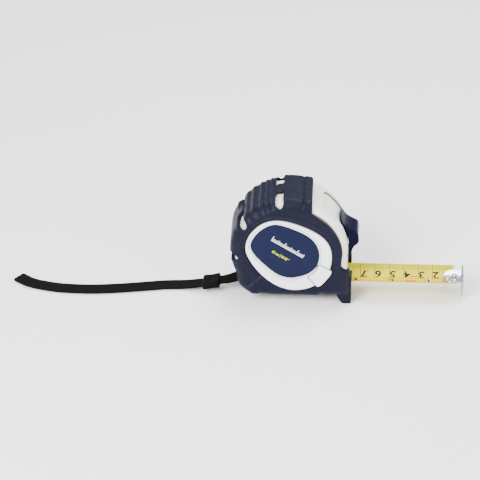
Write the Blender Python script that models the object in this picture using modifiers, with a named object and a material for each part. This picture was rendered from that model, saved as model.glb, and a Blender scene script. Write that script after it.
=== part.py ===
"""A self-retracting steel tape measure, 8 m long and 25 mm wide, with a wrist strap.

Frame: metres, +Z up. +X runs along the blade towards the hook, the side with the push button
faces -Y, and the origin is the middle of the flat underside of the front foot. Every size below
is in millimetres, and the helpers turn it into metres.
"""
import math

import bmesh
import bpy
from mathutils import Matrix, Vector

MM = 0.001
GAP = 0.3                      # clearance between pieces that touch in the real object
NEAR, FAR = -1, 1              # the two sides of the case, as a sign on Y

# Case: a D shape with a round top, seen from the side
ARC_X, ARC_Z = -39.0, 41.0     # middle of the round top, which is also the spool's axis
JACKET_R = 41.5
JACKET_SIDE = 21.5             # half the thickness of the rubber jacket
JACKET_FILLET = 7.5
JACKET_WALL = 2.4
SHELL_WALL = 2.5
BASE_Z = 6.0                   # underside of the case, above the foot
BASE_SKIN = 1.0                # how far the shell's underside sits above the jacket's
BASE_FLOOR = 1.3               # thickness of the shell's floor, under the blade
FRONT_X = 3.0
FRONT_SKIN = 2.2
FRONT_WALL = 2.0
REAR_X = -75.6
REAR_Z = 14.0
CHAMFER_X = -67.5
ARC_START, ARC_END = -8.0, 205.0
ARC_STEPS = 32
PARTING_Y = 1.0                # the two halves meet a little past the middle
FOOT_HALF = 18.0
FOOT_REAR = -7.0               # where the foot's sloping back meets the base
NOSE_TOP = 23.6
MOUTH_HALF = 13.2
MOUTH_TOP = 17.0
ROOM_FILLET = 2.6
OUTSIDE = 40.0                 # further out than any part of the case, for cutters

# Openings of the case: the strap's, the windows in the rubber, and the wedge it leaves bare in front
GATE_X, GATE_HALF, GATE_Z = (-82.0, -67.0), 6.2, (7.6, 15.6)
WINDOW_ANGLES = (101.7, 147.5, 186.0)
WINDOW_HALF, WINDOW_START, WINDOW_STRAIGHT_END = 2.8, 5.4, 18.1
WINDOW_DEPTH = 7.4
WEDGE_EDGE = [(-24.6, 72.0), (-20.0, 67.9), (-13.4, 62.9), (-8.1, 56.7), (-4.9, 50.0), (-3.6, 43.5),
              (-3.9, 37.5), (-4.6, 32.0)]

# Side trim
RING_OUTER = [(-47.0, 67.6), (-33.2, 64.2), (-20.0, 57.4), (-12.6, 48.8), (-10.8, 37.0), (-14.1, 25.0),
              (-24.0, 15.7), (-37.2, 12.8), (-49.5, 16.8), (-60.0, 25.8), (-67.6, 37.4), (-69.7, 46.5),
              (-66.5, 56.5), (-58.0, 65.0)]
LABEL_EDGE = [(-49.0, 64.9), (-36.5, 61.1), (-25.5, 54.6), (-20.0, 45.0), (-20.7, 33.6), (-27.5, 26.0),
              (-38.5, 22.8), (-47.5, 25.2), (-55.6, 32.0), (-63.2, 40.4), (-66.0, 47.6), (-63.6, 54.8),
              (-57.5, 61.5)]
BUTTON_EDGE = [(-19.3, 33.4), (-15.0, 31.3), (-10.8, 28.4), (-14.6, 21.4), (-19.7, 16.4), (-23.4, 20.0),
               (-26.3, 24.1), (-23.6, 26.6), (-21.2, 29.6)]
RING_FACE = 22.5
LABEL_FACE = 21.9
BUTTON_FACE = 23.2
BUTTON_BACK = 20.9
BUTTON_X, BUTTON_Z = -18.6, 25.0
BUTTON_STEM_R, BUTTON_STEM_END = 1.6, 17.0
BUTTON_CUP_R, BUTTON_CUP_END = 5.2, 14.0
BUTTON_WELL_R, BUTTON_WELL_END = 3.9, 15.2
BUTTON_SPRING_TURNS, BUTTON_SPRING_R, BUTTON_WIRE_R = 3, 2.6, 0.32

# Blade: a strip of arched section, resting on the case floor
BLADE_FLOOR = 10.4
BLADE_ARCH_R = 17.3
BLADE_HALF = 11.75
BLADE_THICK = 0.4
BLADE_TAIL = -14.0
BLADE_TIP = 75.0               # the two corners of its end
BLADE_NOTCH = 70.6
BLADE_TAB = 77.0               # the middle of its end, under the hook's tongue
BLADE_TAB_HALF = 5.2
HOOK_FACE = 79.2               # the zero of the scale
HOOK_THICK = 1.0
HOOK_HALF = 10.0
HOOK_FOOT = 2.3
HOOK_TOP = 17.1
TONGUE_TIP = 66.0
TONGUE_HALF = 8.3
TONGUE_THICK = 0.8
TONGUE_ROUND = 6.0             # length of its rounded end
HOOK_PLAY = 1.0
RIVET_PLACES = [(69.4, 0.0), (74.2, 2.7), (74.2, -2.7)]
RIVET_SHANK_R, RIVET_HEAD_R, RIVET_FOOT_R = 1.0, 1.8, 1.7
CENTRE_RIVET_X = 57.4
CENTRE_SHANK_R, CENTRE_HEAD_R, CENTRE_FOOT_R = 0.8, 1.6, 1.4
RIVET_HEAD_THICK = 0.6

# Spool
SPOOL_HALF = 12.5
COIL_R = 25.2
DRUM_R = 15.2
DRUM_WALL = 1.1
FLANGE_THICK = 0.6
POST_R = 3.0
POST_HALF = 16.2
POST_SLOT = 0.5
SPRING_TURNS, SPRING_THICK, SPRING_HALF = 6, 0.5, 11.0

# Places of the fasteners, as (x, z)
SCREW_PLACES = [(-16.6, 66.9), (-61.4, 66.9), (-66.4, 22.6)]
SCREW_R, SCREW_HEAD_R = 1.1, 2.1
SCREW_END, SCREW_HEAD_FROM, SCREW_HEAD_TO = -12.0, 17.9, 19.1
BOSS_R = 2.6
SOCKET_FROM = 14.4             # where the sockets of the spool's post begin, on each side
CLIP_SCREW = (-43.0, 53.0)
CLIP_SCREW_R, CLIP_HEAD_R = 1.5, 3.2
CLIP_HOLE_R, CLIP_BOSS_R = 1.8, 3.2
PIN = (-69.4, 13.4)
PIN_R, PIN_HALF = 1.4, 8.0

# Belt clip: a folded strip, as (y, z) along its middle line
CLIP_THICK, CLIP_HALF = 1.1, 8.0
CLIP_INNER_Y, CLIP_OUTER_Y, CLIP_FOLD_Z = 23.4, 29.6, 61.0
CLIP_LEG = [(CLIP_INNER_Y, 33.0), (CLIP_INNER_Y, 48.0), (CLIP_INNER_Y + 0.06, CLIP_FOLD_Z)]
CLIP_SPRUNG = [(CLIP_OUTER_Y - 0.2, 45.0), (CLIP_OUTER_Y - 0.4, 31.0), (CLIP_OUTER_Y + 0.9, 25.0)]

# Thumb lock: half width, and its side outline as (degrees above the horizontal, radius)
LOCK_HALF = 9.6
LOCK_TOP = [(31.5, 39.7), (24.5, 40.6), (19.0, 42.6), (15.0, 45.6), (12.0, 47.0), (4.5, 46.6),
            (0.5, 43.6), (-4.0, 42.2), (-10.5, 41.6)]
LOCK_UNDER = [(-11.5, 40.0), (-5.0, 39.6), (5.0, 39.5), (15.0, 39.5), (25.0, 39.4), (31.5, 39.0)]
LOCK_SLOT_FROM, LOCK_SLOT_TO, LOCK_SLOT_HALF = 4.5, 26.5, 3.0
RECESS_HALF = 10.6
RECESS_R = 38.5
RECESS_FROM, RECESS_TO = 21.0, 56.0
LEVER_R, LEVER_INNER_R, LEVER_HALF = 36.1, 34.0, 2.6
LEVER_X, LEVER_FOOT = (-12.4, -8.8), 15.1
PAD_X, PAD_HALF, PAD_Z = (-12.8, -8.8), 3.6, (11.6, 14.8)

# Wrist strap: two layers of webbing, folded at the far end
STRAP_WIDTH = 11.0
STRAP_THICK = 2.0
STRAP_ROUTE = [(-72.0, 0.0, 11.6), (-80.0, -2.2, 9.2), (-88.0, -2.4, 7.4), (-96.0, -2.1, 5.6), (-104.0, -1.6, 3.8),
               (-110.0, -0.8, 2.4), (-116.0, -0.2, 1.5), (-127.0, -0.8, 1.3), (-138.0, -2.8, 1.3), (-150.0, -5.0, 1.3),
               (-161.0, -6.8, 1.3), (-178.0, -8.5, 1.3), (-196.0, -8.0, 1.3), (-208.0, -5.9, 1.3), (-220.0, -1.9, 1.3),
               (-229.6, 5.2, 1.3)]
SLIDER_AT = (-94.0, -2.21, 6.05)
SLIDER_HALF = (6.0, 7.2, 2.5)  # along the strap, across it and up
SLIDER_ROUND = 1.1
SLIDER_FIT = 0.4               # room round the strap in its slot

for old in list(bpy.data.objects):
    bpy.data.objects.remove(old)


def new_collection(name):
    made = bpy.data.collections.new(name)
    bpy.context.scene.collection.children.link(made)
    return made


parts = new_collection("tape_measure")
cutters = new_collection("cutters")


def material(name, colour, roughness, metallic=0.0):
    made = bpy.data.materials.new(name)
    made.use_nodes = True
    shader = made.node_tree.nodes["Principled BSDF"]
    shader.inputs["Base Color"].default_value = (*colour, 1.0)
    shader.inputs["Roughness"].default_value = roughness
    shader.inputs["Metallic"].default_value = metallic
    return made


RUBBER = material("navy_rubber", (0.035, 0.037, 0.085), 0.6)
SHELL = material("grey_white_abs", (0.70, 0.71, 0.67), 0.4)
RING = material("white_gloss_abs", (0.86, 0.87, 0.88), 0.25)
LABEL = material("navy_label", (0.026, 0.05, 0.14), 0.4)
LOCK = material("navy_gloss_abs", (0.016, 0.018, 0.07), 0.2)
BLADE = material("yellow_enamel", (0.85, 0.74, 0.05), 0.3)
STEEL = material("plated_steel", (0.55, 0.55, 0.57), 0.3, 1.0)
SPRING = material("blued_steel", (0.12, 0.13, 0.16), 0.35, 1.0)
NYLON = material("black_nylon", (0.015, 0.014, 0.014), 0.8)
INNER = material("black_plastic", (0.03, 0.03, 0.03), 0.5)


# ---------------------------------------------------------------- outlines
def smooth_loop(points, steps):
    """A closed curve through the points, with this many places between each pair."""
    count = len(points)
    curve = []
    for index in range(count):
        before, start, end, after = (Vector(points[(index + shift) % count]) for shift in (-1, 0, 1, 2))
        for step in range(steps):
            t = step / steps
            curve.append(0.5 * (2 * start + (end - before) * t
                                + (2 * before - 5 * start + 4 * end - after) * t * t
                                + (3 * start - before - 3 * end + after) * t ** 3))
    return curve


def smooth_line(points, steps):
    """The same, for a line that is open at both ends."""
    line = []
    for index in range(len(points) - 1):
        start, end = Vector(points[index]), Vector(points[index + 1])
        before = Vector(points[index - 1]) if index else 2 * start - end
        after = Vector(points[index + 2]) if index + 2 < len(points) else 2 * end - start
        for step in range(steps):
            t = step / steps
            line.append(0.5 * (2 * start + (end - before) * t
                               + (2 * before - 5 * start + 4 * end - after) * t * t
                               + (3 * start - before - 3 * end + after) * t ** 3))
    line.append(Vector(points[-1]))
    return line


def inset(outline, distance):
    """Move a closed outline inwards; distance is one number, or one for each edge."""
    count = len(outline)
    steps = distance if isinstance(distance, list) else [distance] * count
    area = sum(outline[i - 1][0] * outline[i][1] - outline[i][0] * outline[i - 1][1] for i in range(count))
    turn = 1 if area > 0 else -1
    moved = []
    for index in range(count):
        before, here, after = (Vector(outline[(index + shift) % count]) for shift in (-1, 0, 1))
        first, second = (here - before).normalized(), (after - here).normalized()
        first_in = turn * Vector((-first.y, first.x))
        second_in = turn * Vector((-second.y, second.x))
        a, b = steps[index - 1], steps[index]
        cross = first.x * second.y - first.y * second.x
        if abs(cross) < 1e-4:
            moved.append(here + (first_in + second_in) * 0.5 * (a + b) * 0.5)
            continue
        along = ((b * second_in - a * first_in).x * second.y - (b * second_in - a * first_in).y * second.x) / cross
        moved.append(here + a * first_in + first * along)
    return moved


def polar(angle, radius):
    """A point around the middle of the round top; angle in degrees, 0 towards the front."""
    turn = math.radians(angle)
    return Vector((ARC_X + radius * math.cos(turn), ARC_Z + radius * math.sin(turn)))


def case_outline(wall=0.0, base=0.0, front=0.0):
    """The case from the side, with its walls moved inwards."""
    points = [polar(ARC_START + (ARC_END - ARC_START) * i / ARC_STEPS, JACKET_R) for i in range(ARC_STEPS + 1)]
    points += [Vector((REAR_X, REAR_Z)), Vector((CHAMFER_X, BASE_Z)), Vector((FRONT_X, BASE_Z))]
    distances = [wall] * len(points)
    distances[-2] = base
    distances[-1] = front
    return inset(points, distances)


# ---------------------------------------------------------------- solids
def add_object(name, mesh, look, guide=False):
    made = bpy.data.objects.new(name, mesh)
    (cutters if guide else parts).objects.link(made)
    if guide:
        made.hide_render = True
        made.display_type = "WIRE"
    else:
        mesh.materials.append(look)
        mesh.shade_smooth()
        mesh.set_sharp_from_angle(angle=math.radians(35))
    return made


def finish_mesh(name, bm):
    bmesh.ops.recalc_face_normals(bm, faces=bm.faces)
    mesh = bpy.data.meshes.new(name)
    bm.to_mesh(mesh)
    bm.free()
    return mesh


def loft(name, rings, look=None):
    """A closed solid through rings of points in millimetres; without a look it is a cutter."""
    bm = bmesh.new()
    loops = [[bm.verts.new(Vector(point) * MM) for point in ring] for ring in rings]
    for lower, upper in zip(loops, loops[1:]):
        for i in range(len(lower)):
            bm.faces.new((lower[i - 1], lower[i], upper[i], upper[i - 1]))
    bm.faces.new(loops[0])
    bm.faces.new(loops[-1])
    return add_object(name, finish_mesh(name, bm), look, guide=look is None)


def at_y(outline, y):
    return [Vector((point[0], y, point[1])) for point in outline]


def prism(name, outline, low, high, look=None):
    """An outline in the XZ plane, extruded along Y."""
    return loft(name, [at_y(outline, low), at_y(outline, high)], look)


def domed(name, outline, back, face, round_edge, side, look=None):
    """A plate on one side of the case, whose outer edge is rounded."""
    rings = [at_y(outline, side * back), at_y(outline, side * (face - round_edge))]
    for turn in (35, 65, 90):
        angle = math.radians(turn)
        edge = inset(outline, round_edge * (1 - math.cos(angle)))
        rings.append(at_y(edge, side * (face - round_edge + round_edge * math.sin(angle))))
    return loft(name, rings, look)


def rod(name, radius, low, high, x, z, look=None, segments=24, top_radius=None):
    """A cylinder or cone along Y."""
    bm = bmesh.new()
    ends = (radius, radius if top_radius is None else top_radius)
    bmesh.ops.create_cone(bm, cap_ends=True, segments=segments, radius1=ends[0] * MM, radius2=ends[1] * MM,
                          depth=(high - low) * MM)
    place = Matrix.Translation(Vector((x, (low + high) / 2, z)) * MM) @ Matrix.Rotation(-math.pi / 2, 4, "X")
    bmesh.ops.transform(bm, matrix=place, verts=bm.verts)
    return add_object(name, finish_mesh(name, bm), look, guide=look is None)


def box(name, x, y, z, look=None):
    """A box from three (low, high) pairs."""
    bm = bmesh.new()
    bmesh.ops.create_cube(bm, size=1.0)
    size = Vector((x[1] - x[0], y[1] - y[0], z[1] - z[0])) * MM
    middle = Vector((x[0] + x[1], y[0] + y[1], z[0] + z[1])) * MM / 2
    bmesh.ops.transform(bm, matrix=Matrix.Translation(middle) @ Matrix.Diagonal((*size, 1.0)), verts=bm.verts)
    return add_object(name, finish_mesh(name, bm), look, guide=look is None)


def boolean(target, other, operation):
    change = target.modifiers.new(operation.lower() + "_" + other.name, "BOOLEAN")
    change.operation = operation
    change.object = other
    change.solver = "EXACT"


def cut(target, *others):
    for other in others:
        boolean(target, other, "DIFFERENCE")


def join(target, *others):
    for other in others:
        boolean(target, other, "UNION")


def bevel(target, width, segments=2, angle=40):
    change = target.modifiers.new("bevel", "BEVEL")
    change.width = width * MM
    change.segments = segments
    change.limit_method = "ANGLE"
    change.angle_limit = math.radians(angle)


# ---------------------------------------------------------------- case
SHELL_SIDE = JACKET_SIDE - JACKET_WALL
CASE_FLOOR = BASE_Z + BASE_SKIN + BASE_FLOOR
ROOM_SIDE = SHELL_SIDE - SHELL_WALL
FILLET_TURNS = (0.0, 22.5, 45.0, 67.5, 90.0)


def inner_face(side):
    """Where a half stops at the parting plane."""
    return PARTING_Y + side * GAP / 2


def case_rings(skins, half_width, fillet, side):
    """Outlines of one side of the case, from its rim out to its side face."""
    rings = []
    for turn in FILLET_TURNS:
        angle = math.radians(turn)
        drop = fillet * (1 - math.cos(angle))
        outline = case_outline(*(skin + drop for skin in skins))
        rings.append(at_y(outline, side * (half_width - fillet + fillet * math.sin(angle))))
    return rings


def case_half(name, skins, half_width, fillet, side, look):
    inner = at_y(case_outline(*skins), inner_face(side))
    return loft(name, [inner] + case_rings(skins, half_width, fillet, side), look)


def case_whole(name, skins, half_width, fillet):
    """A cutter of the whole case's form, right through both halves."""
    near = case_rings(skins, half_width, fillet, NEAR)
    return loft(name, near[::-1] + case_rings(skins, half_width, fillet, FAR))


def span(side, inner, outer):
    """A stretch along Y on one side of the case, as (low, high)."""
    return sorted((side * inner, side * outer))


def arc_band(name, start, end, low_r, high_r, half):
    """A cutter that follows the round top between two angles."""
    steps = max(2, round(abs(end - start) / 6))
    angles = [start + (end - start) * i / steps for i in range(steps + 1)]
    outline = [polar(angle, low_r) for angle in angles] + [polar(angle, high_r) for angle in reversed(angles)]
    return prism(name, outline, -half, half)


def strap_gate(name):
    return box(name, GATE_X, (-GATE_HALF, GATE_HALF), GATE_Z)


def case_shell(side, word):
    skins = (JACKET_WALL, BASE_SKIN, FRONT_SKIN)
    shell = case_half("case_shell_" + word, skins, SHELL_SIDE, JACKET_FILLET - JACKET_WALL, side, SHELL)
    room_skins = (JACKET_WALL + SHELL_WALL, BASE_SKIN + BASE_FLOOR, FRONT_SKIN + FRONT_WALL)
    cut(shell, case_whole("room_" + word, room_skins, ROOM_SIDE, ROOM_FILLET))
    into_wall = SHELL_SIDE - 1.0
    for index, (x, z) in enumerate(SCREW_PLACES):
        low, high = sorted((inner_face(side), side * into_wall))
        join(shell, rod(f"boss_{word}_{index}", BOSS_R, low, high, x, z, segments=12))
    join(shell, rod("post_socket_" + word, POST_R + 2.0, *span(side, SOCKET_FROM, into_wall), ARC_X, ARC_Z))
    post_end = POST_HALF + 0.4
    cut(shell, rod("post_hole_" + word, POST_R + GAP, *span(side, SOCKET_FROM - 1.4, post_end), ARC_X, ARC_Z),
        box("mouth_" + word, (-4.0, FRONT_X + 3.0), (-MOUTH_HALF, MOUTH_HALF), (CASE_FLOOR, MOUTH_TOP)),
        arc_band("lock_slot_" + word, LOCK_SLOT_FROM, LOCK_SLOT_TO, 35.0, 42.0, LOCK_SLOT_HALF),
        arc_band("lock_recess_" + word, RECESS_FROM, RECESS_TO, RECESS_R, 44.0, RECESS_HALF),
        strap_gate("gate_shell_" + word),
        rod("pin_hole_" + word, PIN_R + GAP, -PIN_HALF - GAP, PIN_HALF + GAP, *PIN, segments=16))
    for index, (x, z) in enumerate(SCREW_PLACES):
        low, high = (SCREW_END - 0.4, 3.0) if side == NEAR else (-1.0, JACKET_SIDE)
        cut(shell, rod(f"screw_hole_{word}_{index}", SCREW_R + GAP, low, high, x, z, segments=12))
        if side == FAR:
            cut(shell, rod(f"head_hole_{index}", SCREW_HEAD_R + GAP, SCREW_HEAD_FROM - GAP, JACKET_SIDE, x, z,
                           segments=16))
    if side == NEAR:
        join(shell, rod("button_cup", BUTTON_CUP_R, 0.6 - SHELL_SIDE, -BUTTON_CUP_END, BUTTON_X, BUTTON_Z))
        cut(shell, rod("button_well", BUTTON_WELL_R, -SHELL_SIDE - 1.0, -BUTTON_WELL_END, BUTTON_X, BUTTON_Z))
    else:
        join(shell, rod("clip_boss", CLIP_BOSS_R, 14.6, into_wall, *CLIP_SCREW, segments=16))
        cut(shell, rod("clip_hole_shell", CLIP_HOLE_R, 14.0, JACKET_SIDE, *CLIP_SCREW, segments=16))


def window(name, angle, side):
    """A round-ended slot through the jacket's rim, from near the middle to the side face."""
    profile = [(WINDOW_HALF, WINDOW_START), (-WINDOW_HALF, WINDOW_START)]
    for turn in (180, 150, 120, 90, 60, 30, 0):
        spin = math.radians(turn)
        profile.append((WINDOW_HALF * math.cos(spin), WINDOW_STRAIGHT_END + WINDOW_HALF * math.sin(spin)))
    out = polar(angle, 1.0) - polar(angle, 0.0)
    along = Vector((-out.y, out.x))
    rings = []
    for radius in (JACKET_R - WINDOW_DEPTH, JACKET_R + 4.5):
        foot = polar(angle, radius)
        rings.append([Vector((foot.x + along.x * p, side * q, foot.y + along.y * p)) for p, q in profile])
    return loft(name, rings)


def front_opening(name):
    """The wedge at the front and top that the jacket leaves bare."""
    top, front, sill = 95.0, 20.0, NOSE_TOP + 0.1
    outline = [(WEDGE_EDGE[0][0], top)] + smooth_line(WEDGE_EDGE, 2)
    outline += [(FRONT_X + GAP, sill), (front, sill), (front, top)]
    return prism(name, outline, -OUTSIDE, OUTSIDE)


def plinth(side, word):
    """The block that carries the foot in front and closes the skin along the base, with softened sides."""
    outline = [(-71.8, REAR_Z), (CHAMFER_X, BASE_Z), (FOOT_REAR, BASE_Z), (-3.6, 0.0), (FRONT_X - 0.6, 0.0),
               (FRONT_X, 0.6), (FRONT_X, NOSE_TOP), (-4.0, NOSE_TOP), (-9.0, REAR_Z)]
    edge = 1.0
    return loft("plinth_" + word, [at_y(outline, inner_face(side)), at_y(outline, side * (FOOT_HALF - edge)),
                                   at_y(inset(outline, 0.3 * edge), side * (FOOT_HALF - 0.3 * edge)),
                                   at_y(inset(outline, edge), side * FOOT_HALF)])


def jacket(side, word):
    body = case_half("jacket_" + word, (0.0, 0.0, 0.0), JACKET_SIDE, JACKET_FILLET, side, RUBBER)
    join(body, plinth(side, word))
    room_skins = (JACKET_WALL - GAP, BASE_SKIN - GAP, FRONT_SKIN - GAP)
    cut(body, case_whole("jacket_room_" + word, room_skins, SHELL_SIDE + GAP, JACKET_FILLET - JACKET_WALL + GAP),
        front_opening("front_opening_" + word),
        prism("ring_opening_" + word, inset(smooth_loop(RING_OUTER, 3), -GAP), *span(side, 16.0, OUTSIDE)),
        box("jacket_mouth_" + word, (-4.0, FRONT_X + 6.0), (-MOUTH_HALF, MOUTH_HALF), (CASE_FLOOR, OUTSIDE)),
        strap_gate("gate_jacket_" + word))
    for index, angle in enumerate(WINDOW_ANGLES):
        cut(body, window(f"window_{word}_{index}", angle, side))
    if side == NEAR:
        cut(body, prism("button_opening", inset(smooth_loop(BUTTON_EDGE, 2), -GAP), -OUTSIDE, -16.0))
    else:
        for index, (x, z) in enumerate(SCREW_PLACES):
            cut(body, rod(f"jacket_head_hole_{index}", SCREW_HEAD_R + 2 * GAP, 16.0, JACKET_SIDE + 2.0, x, z,
                          segments=16))


def strap_pin():
    rod("strap_pin", PIN_R, -PIN_HALF, PIN_HALF, *PIN, look=STEEL, segments=16)


def case_screws():
    for index, (x, z) in enumerate(SCREW_PLACES):
        screw = rod(f"case_screw_{index + 1}", SCREW_R, SCREW_END, SCREW_HEAD_FROM + 0.3, x, z, look=STEEL,
                    segments=12)
        join(screw, rod(f"case_screw_head_{index}", SCREW_HEAD_R, SCREW_HEAD_FROM, SCREW_HEAD_TO, x, z,
                        segments=16))


# ---------------------------------------------------------------- side trim
def side_ring(side, word):
    ring = domed("side_ring_" + word, smooth_loop(RING_OUTER, 3), SHELL_SIDE + GAP, RING_FACE, 0.8, side, RING)
    cut(ring, prism("label_opening_" + word, inset(smooth_loop(LABEL_EDGE, 3), -GAP), *span(side, 16.0, OUTSIDE)))
    if side == NEAR:
        cut(ring, prism("ring_gap", inset(smooth_loop(BUTTON_EDGE, 2), -GAP), -OUTSIDE, -16.0))


def side_label(side, word):
    label = domed("label_" + word, smooth_loop(LABEL_EDGE, 3), SHELL_SIDE + GAP, LABEL_FACE, 0.4, side, LABEL)
    if side == NEAR:
        cut(label, prism("label_gap", inset(smooth_loop(BUTTON_EDGE, 2), -GAP), -OUTSIDE, -16.0))
    else:
        cut(label, rod("clip_hole_label", CLIP_HOLE_R, 16.0, RING_FACE + 1.5, *CLIP_SCREW, segments=16))


def side_button():
    """The button stands proud of the ring, on a short stem that runs down into its well."""
    domed("side_button", smooth_loop(BUTTON_EDGE, 2), BUTTON_BACK, BUTTON_FACE, 0.7, NEAR, RING)
    stem = rod("button_stem", BUTTON_STEM_R, -BUTTON_BACK - 0.5, -BUTTON_STEM_END, BUTTON_X, BUTTON_Z, segments=16)
    join(bpy.data.objects["side_button"], stem)
    high, low = -BUTTON_BACK + 0.7, -BUTTON_STEM_END - 0.4
    count = BUTTON_SPRING_TURNS * 12
    points = []
    for i in range(count + 1):
        angle = math.tau * BUTTON_SPRING_TURNS * i / count
        points.append((BUTTON_X + BUTTON_SPRING_R * math.cos(angle), high + (low - high) * i / count,
                       BUTTON_Z + BUTTON_SPRING_R * math.sin(angle)))
    wire_piece("button_spring", points, BUTTON_WIRE_R, SPRING)


def wire_piece(name, points, radius, look):
    curve = bpy.data.curves.new(name, "CURVE")
    curve.dimensions = "3D"
    curve.bevel_depth = radius * MM
    curve.bevel_resolution = 2
    curve.use_fill_caps = True
    spline = curve.splines.new("POLY")
    spline.points.add(len(points) - 1)
    for slot, point in zip(spline.points, points):
        slot.co = (*(Vector(point) * MM), 1.0)
    made = bpy.data.objects.new(name, curve)
    curve.materials.append(look)
    parts.objects.link(made)


def strip(path, thick):
    """The outline of a bent strip, from the middle line of its section."""
    left, right = [], []
    for index, here in enumerate(path):
        before = path[max(index - 1, 0)]
        after = path[min(index + 1, len(path) - 1)]
        along = (Vector(after) - Vector(before)).normalized()
        across = Vector((-along.y, along.x)) * thick / 2
        left.append(Vector(here) + across)
        right.append(Vector(here) - across)
    return left + right[::-1]


def belt_clip():
    """A sprung steel strip on the far side, folded over at the top, for a belt up to 4 mm thick."""
    bend = (CLIP_OUTER_Y - CLIP_INNER_Y) / 2
    path = list(CLIP_LEG)
    for turn in range(150, -1, -30):
        angle = math.radians(turn)
        path.append((CLIP_INNER_Y + bend + bend * math.cos(angle), CLIP_FOLD_Z + bend * math.sin(angle)))
    outline = strip(path + CLIP_SPRUNG, CLIP_THICK)
    middle = CLIP_SCREW[0]
    clip = loft("belt_clip", [[Vector((middle + x, y, z)) for y, z in outline] for x in (-CLIP_HALF, CLIP_HALF)],
                STEEL)
    cut(clip, rod("clip_hole", CLIP_HOLE_R, 22.0, 25.0, *CLIP_SCREW, segments=16))
    head_from = CLIP_INNER_Y + CLIP_THICK / 2 + GAP
    screw = rod("clip_screw", CLIP_SCREW_R, 15.0, head_from + 0.55, *CLIP_SCREW, look=STEEL, segments=12)
    join(screw, rod("clip_screw_head", CLIP_HEAD_R, head_from, 25.5, *CLIP_SCREW, segments=20,
                    top_radius=0.75 * CLIP_HEAD_R))


# ---------------------------------------------------------------- blade and hook
def arch(half_angle, radius, count):
    """Points across the blade, as (y, height above the blade's lowest line)."""
    turns = [half_angle * (2 * i / count - 1) for i in range(count + 1)]
    return [(radius * math.sin(turn), BLADE_ARCH_R - radius * math.cos(turn)) for turn in turns]


def arched_strip(name, half_width, lift, thick, plan, look):
    """A strip along X with the blade's arched section; plan gives its two ends in X for each y."""
    half_angle = math.asin(half_width / BLADE_ARCH_R)
    lower = arch(half_angle, BLADE_ARCH_R - lift, 12)
    upper = arch(half_angle, BLADE_ARCH_R - lift - thick, 12)
    section = lower + upper[::-1]
    rings = []
    for end in (0, 1):
        rings.append([Vector((plan(abs(y))[end], y, BLADE_FLOOR + height)) for y, height in section])
    return loft(name, rings, look)


def blade_plan(y):
    """Square at the tail; at the tip two corners and a tab in the middle."""
    if y < BLADE_TAB_HALF:
        return BLADE_TAIL, BLADE_TAB
    share = (y - BLADE_TAB_HALF) / (BLADE_HALF - BLADE_TAB_HALF)
    return BLADE_TAIL, BLADE_NOTCH + (BLADE_TIP - BLADE_NOTCH) * min(share, 1.0)


def tongue_plan(y):
    """Round at the end that lies on the blade."""
    rounding = 1 - math.sqrt(max(0.0, 1 - (y / TONGUE_HALF) ** 2))
    return TONGUE_TIP + TONGUE_ROUND * rounding, HOOK_FACE + 0.4


def upright(name, radius, low, high, x, y, look=None, top_radius=None):
    """A cylinder or cone along Z."""
    bm = bmesh.new()
    bmesh.ops.create_cone(bm, cap_ends=True, segments=16, radius1=radius * MM,
                          radius2=(radius if top_radius is None else top_radius) * MM, depth=(high - low) * MM,
                          matrix=Matrix.Translation(Vector((x, y, (low + high) / 2)) * MM))
    return add_object(name, finish_mesh(name, bm), look, guide=look is None)


def rivet(name, x, y, top, shank=RIVET_SHANK_R, head=RIVET_HEAD_R, foot=RIVET_FOOT_R):
    """A shank through the blade, with a head on each side."""
    made = upright(name, shank, BLADE_FLOOR - 0.6, top + 0.2, x, y, STEEL)
    join(made, upright(name + "_head", head, top, top + RIVET_HEAD_THICK, x, y, top_radius=head * 0.7),
         upright(name + "_foot", foot, BLADE_FLOOR - GAP - RIVET_HEAD_THICK, BLADE_FLOOR - GAP, x, y))


def rise(y):
    """How far the blade has risen at this distance from its middle."""
    return BLADE_ARCH_R - math.sqrt(BLADE_ARCH_R ** 2 - y ** 2)


def blade_and_hook():
    blade = arched_strip("blade", BLADE_HALF, 0.0, BLADE_THICK, blade_plan, BLADE)
    tongue_lift = BLADE_THICK + GAP
    hook = arched_strip("end_hook", TONGUE_HALF, tongue_lift, TONGUE_THICK, tongue_plan, STEEL)
    join(hook, box("hook_plate", (HOOK_FACE, HOOK_FACE + HOOK_THICK), (-HOOK_HALF, HOOK_HALF), (HOOK_FOOT, HOOK_TOP)))
    tongue_top = BLADE_FLOOR + tongue_lift + TONGUE_THICK
    hole_r = RIVET_SHANK_R + GAP
    below, above = BLADE_FLOOR - 3.8, BLADE_FLOOR + 5.2
    for index, (x, y) in enumerate(RIVET_PLACES):
        cut(blade, upright(f"blade_hole_{index}", hole_r, below, above, x, y))
        # the hook slides outwards by its own thickness, so its holes are slots behind the shanks
        cut(hook, box(f"hook_slot_{index}", (x - HOOK_PLAY - hole_r - 0.1, x + hole_r + 0.1),
                      (y - hole_r, y + hole_r), (BLADE_FLOOR + 0.2, above)))
        rivet(f"hook_rivet_{index + 1}", x, y, tongue_top + rise(abs(y) + RIVET_HEAD_R) + GAP)
    cut(blade, upright("centre_hole", CENTRE_SHANK_R + GAP, below, above, CENTRE_RIVET_X, 0.0))
    centre_top = BLADE_FLOOR + BLADE_THICK + rise(CENTRE_HEAD_R) + GAP
    rivet("blade_rivet", CENTRE_RIVET_X, 0.0, centre_top, CENTRE_SHANK_R, CENTRE_HEAD_R, CENTRE_FOOT_R)


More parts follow.
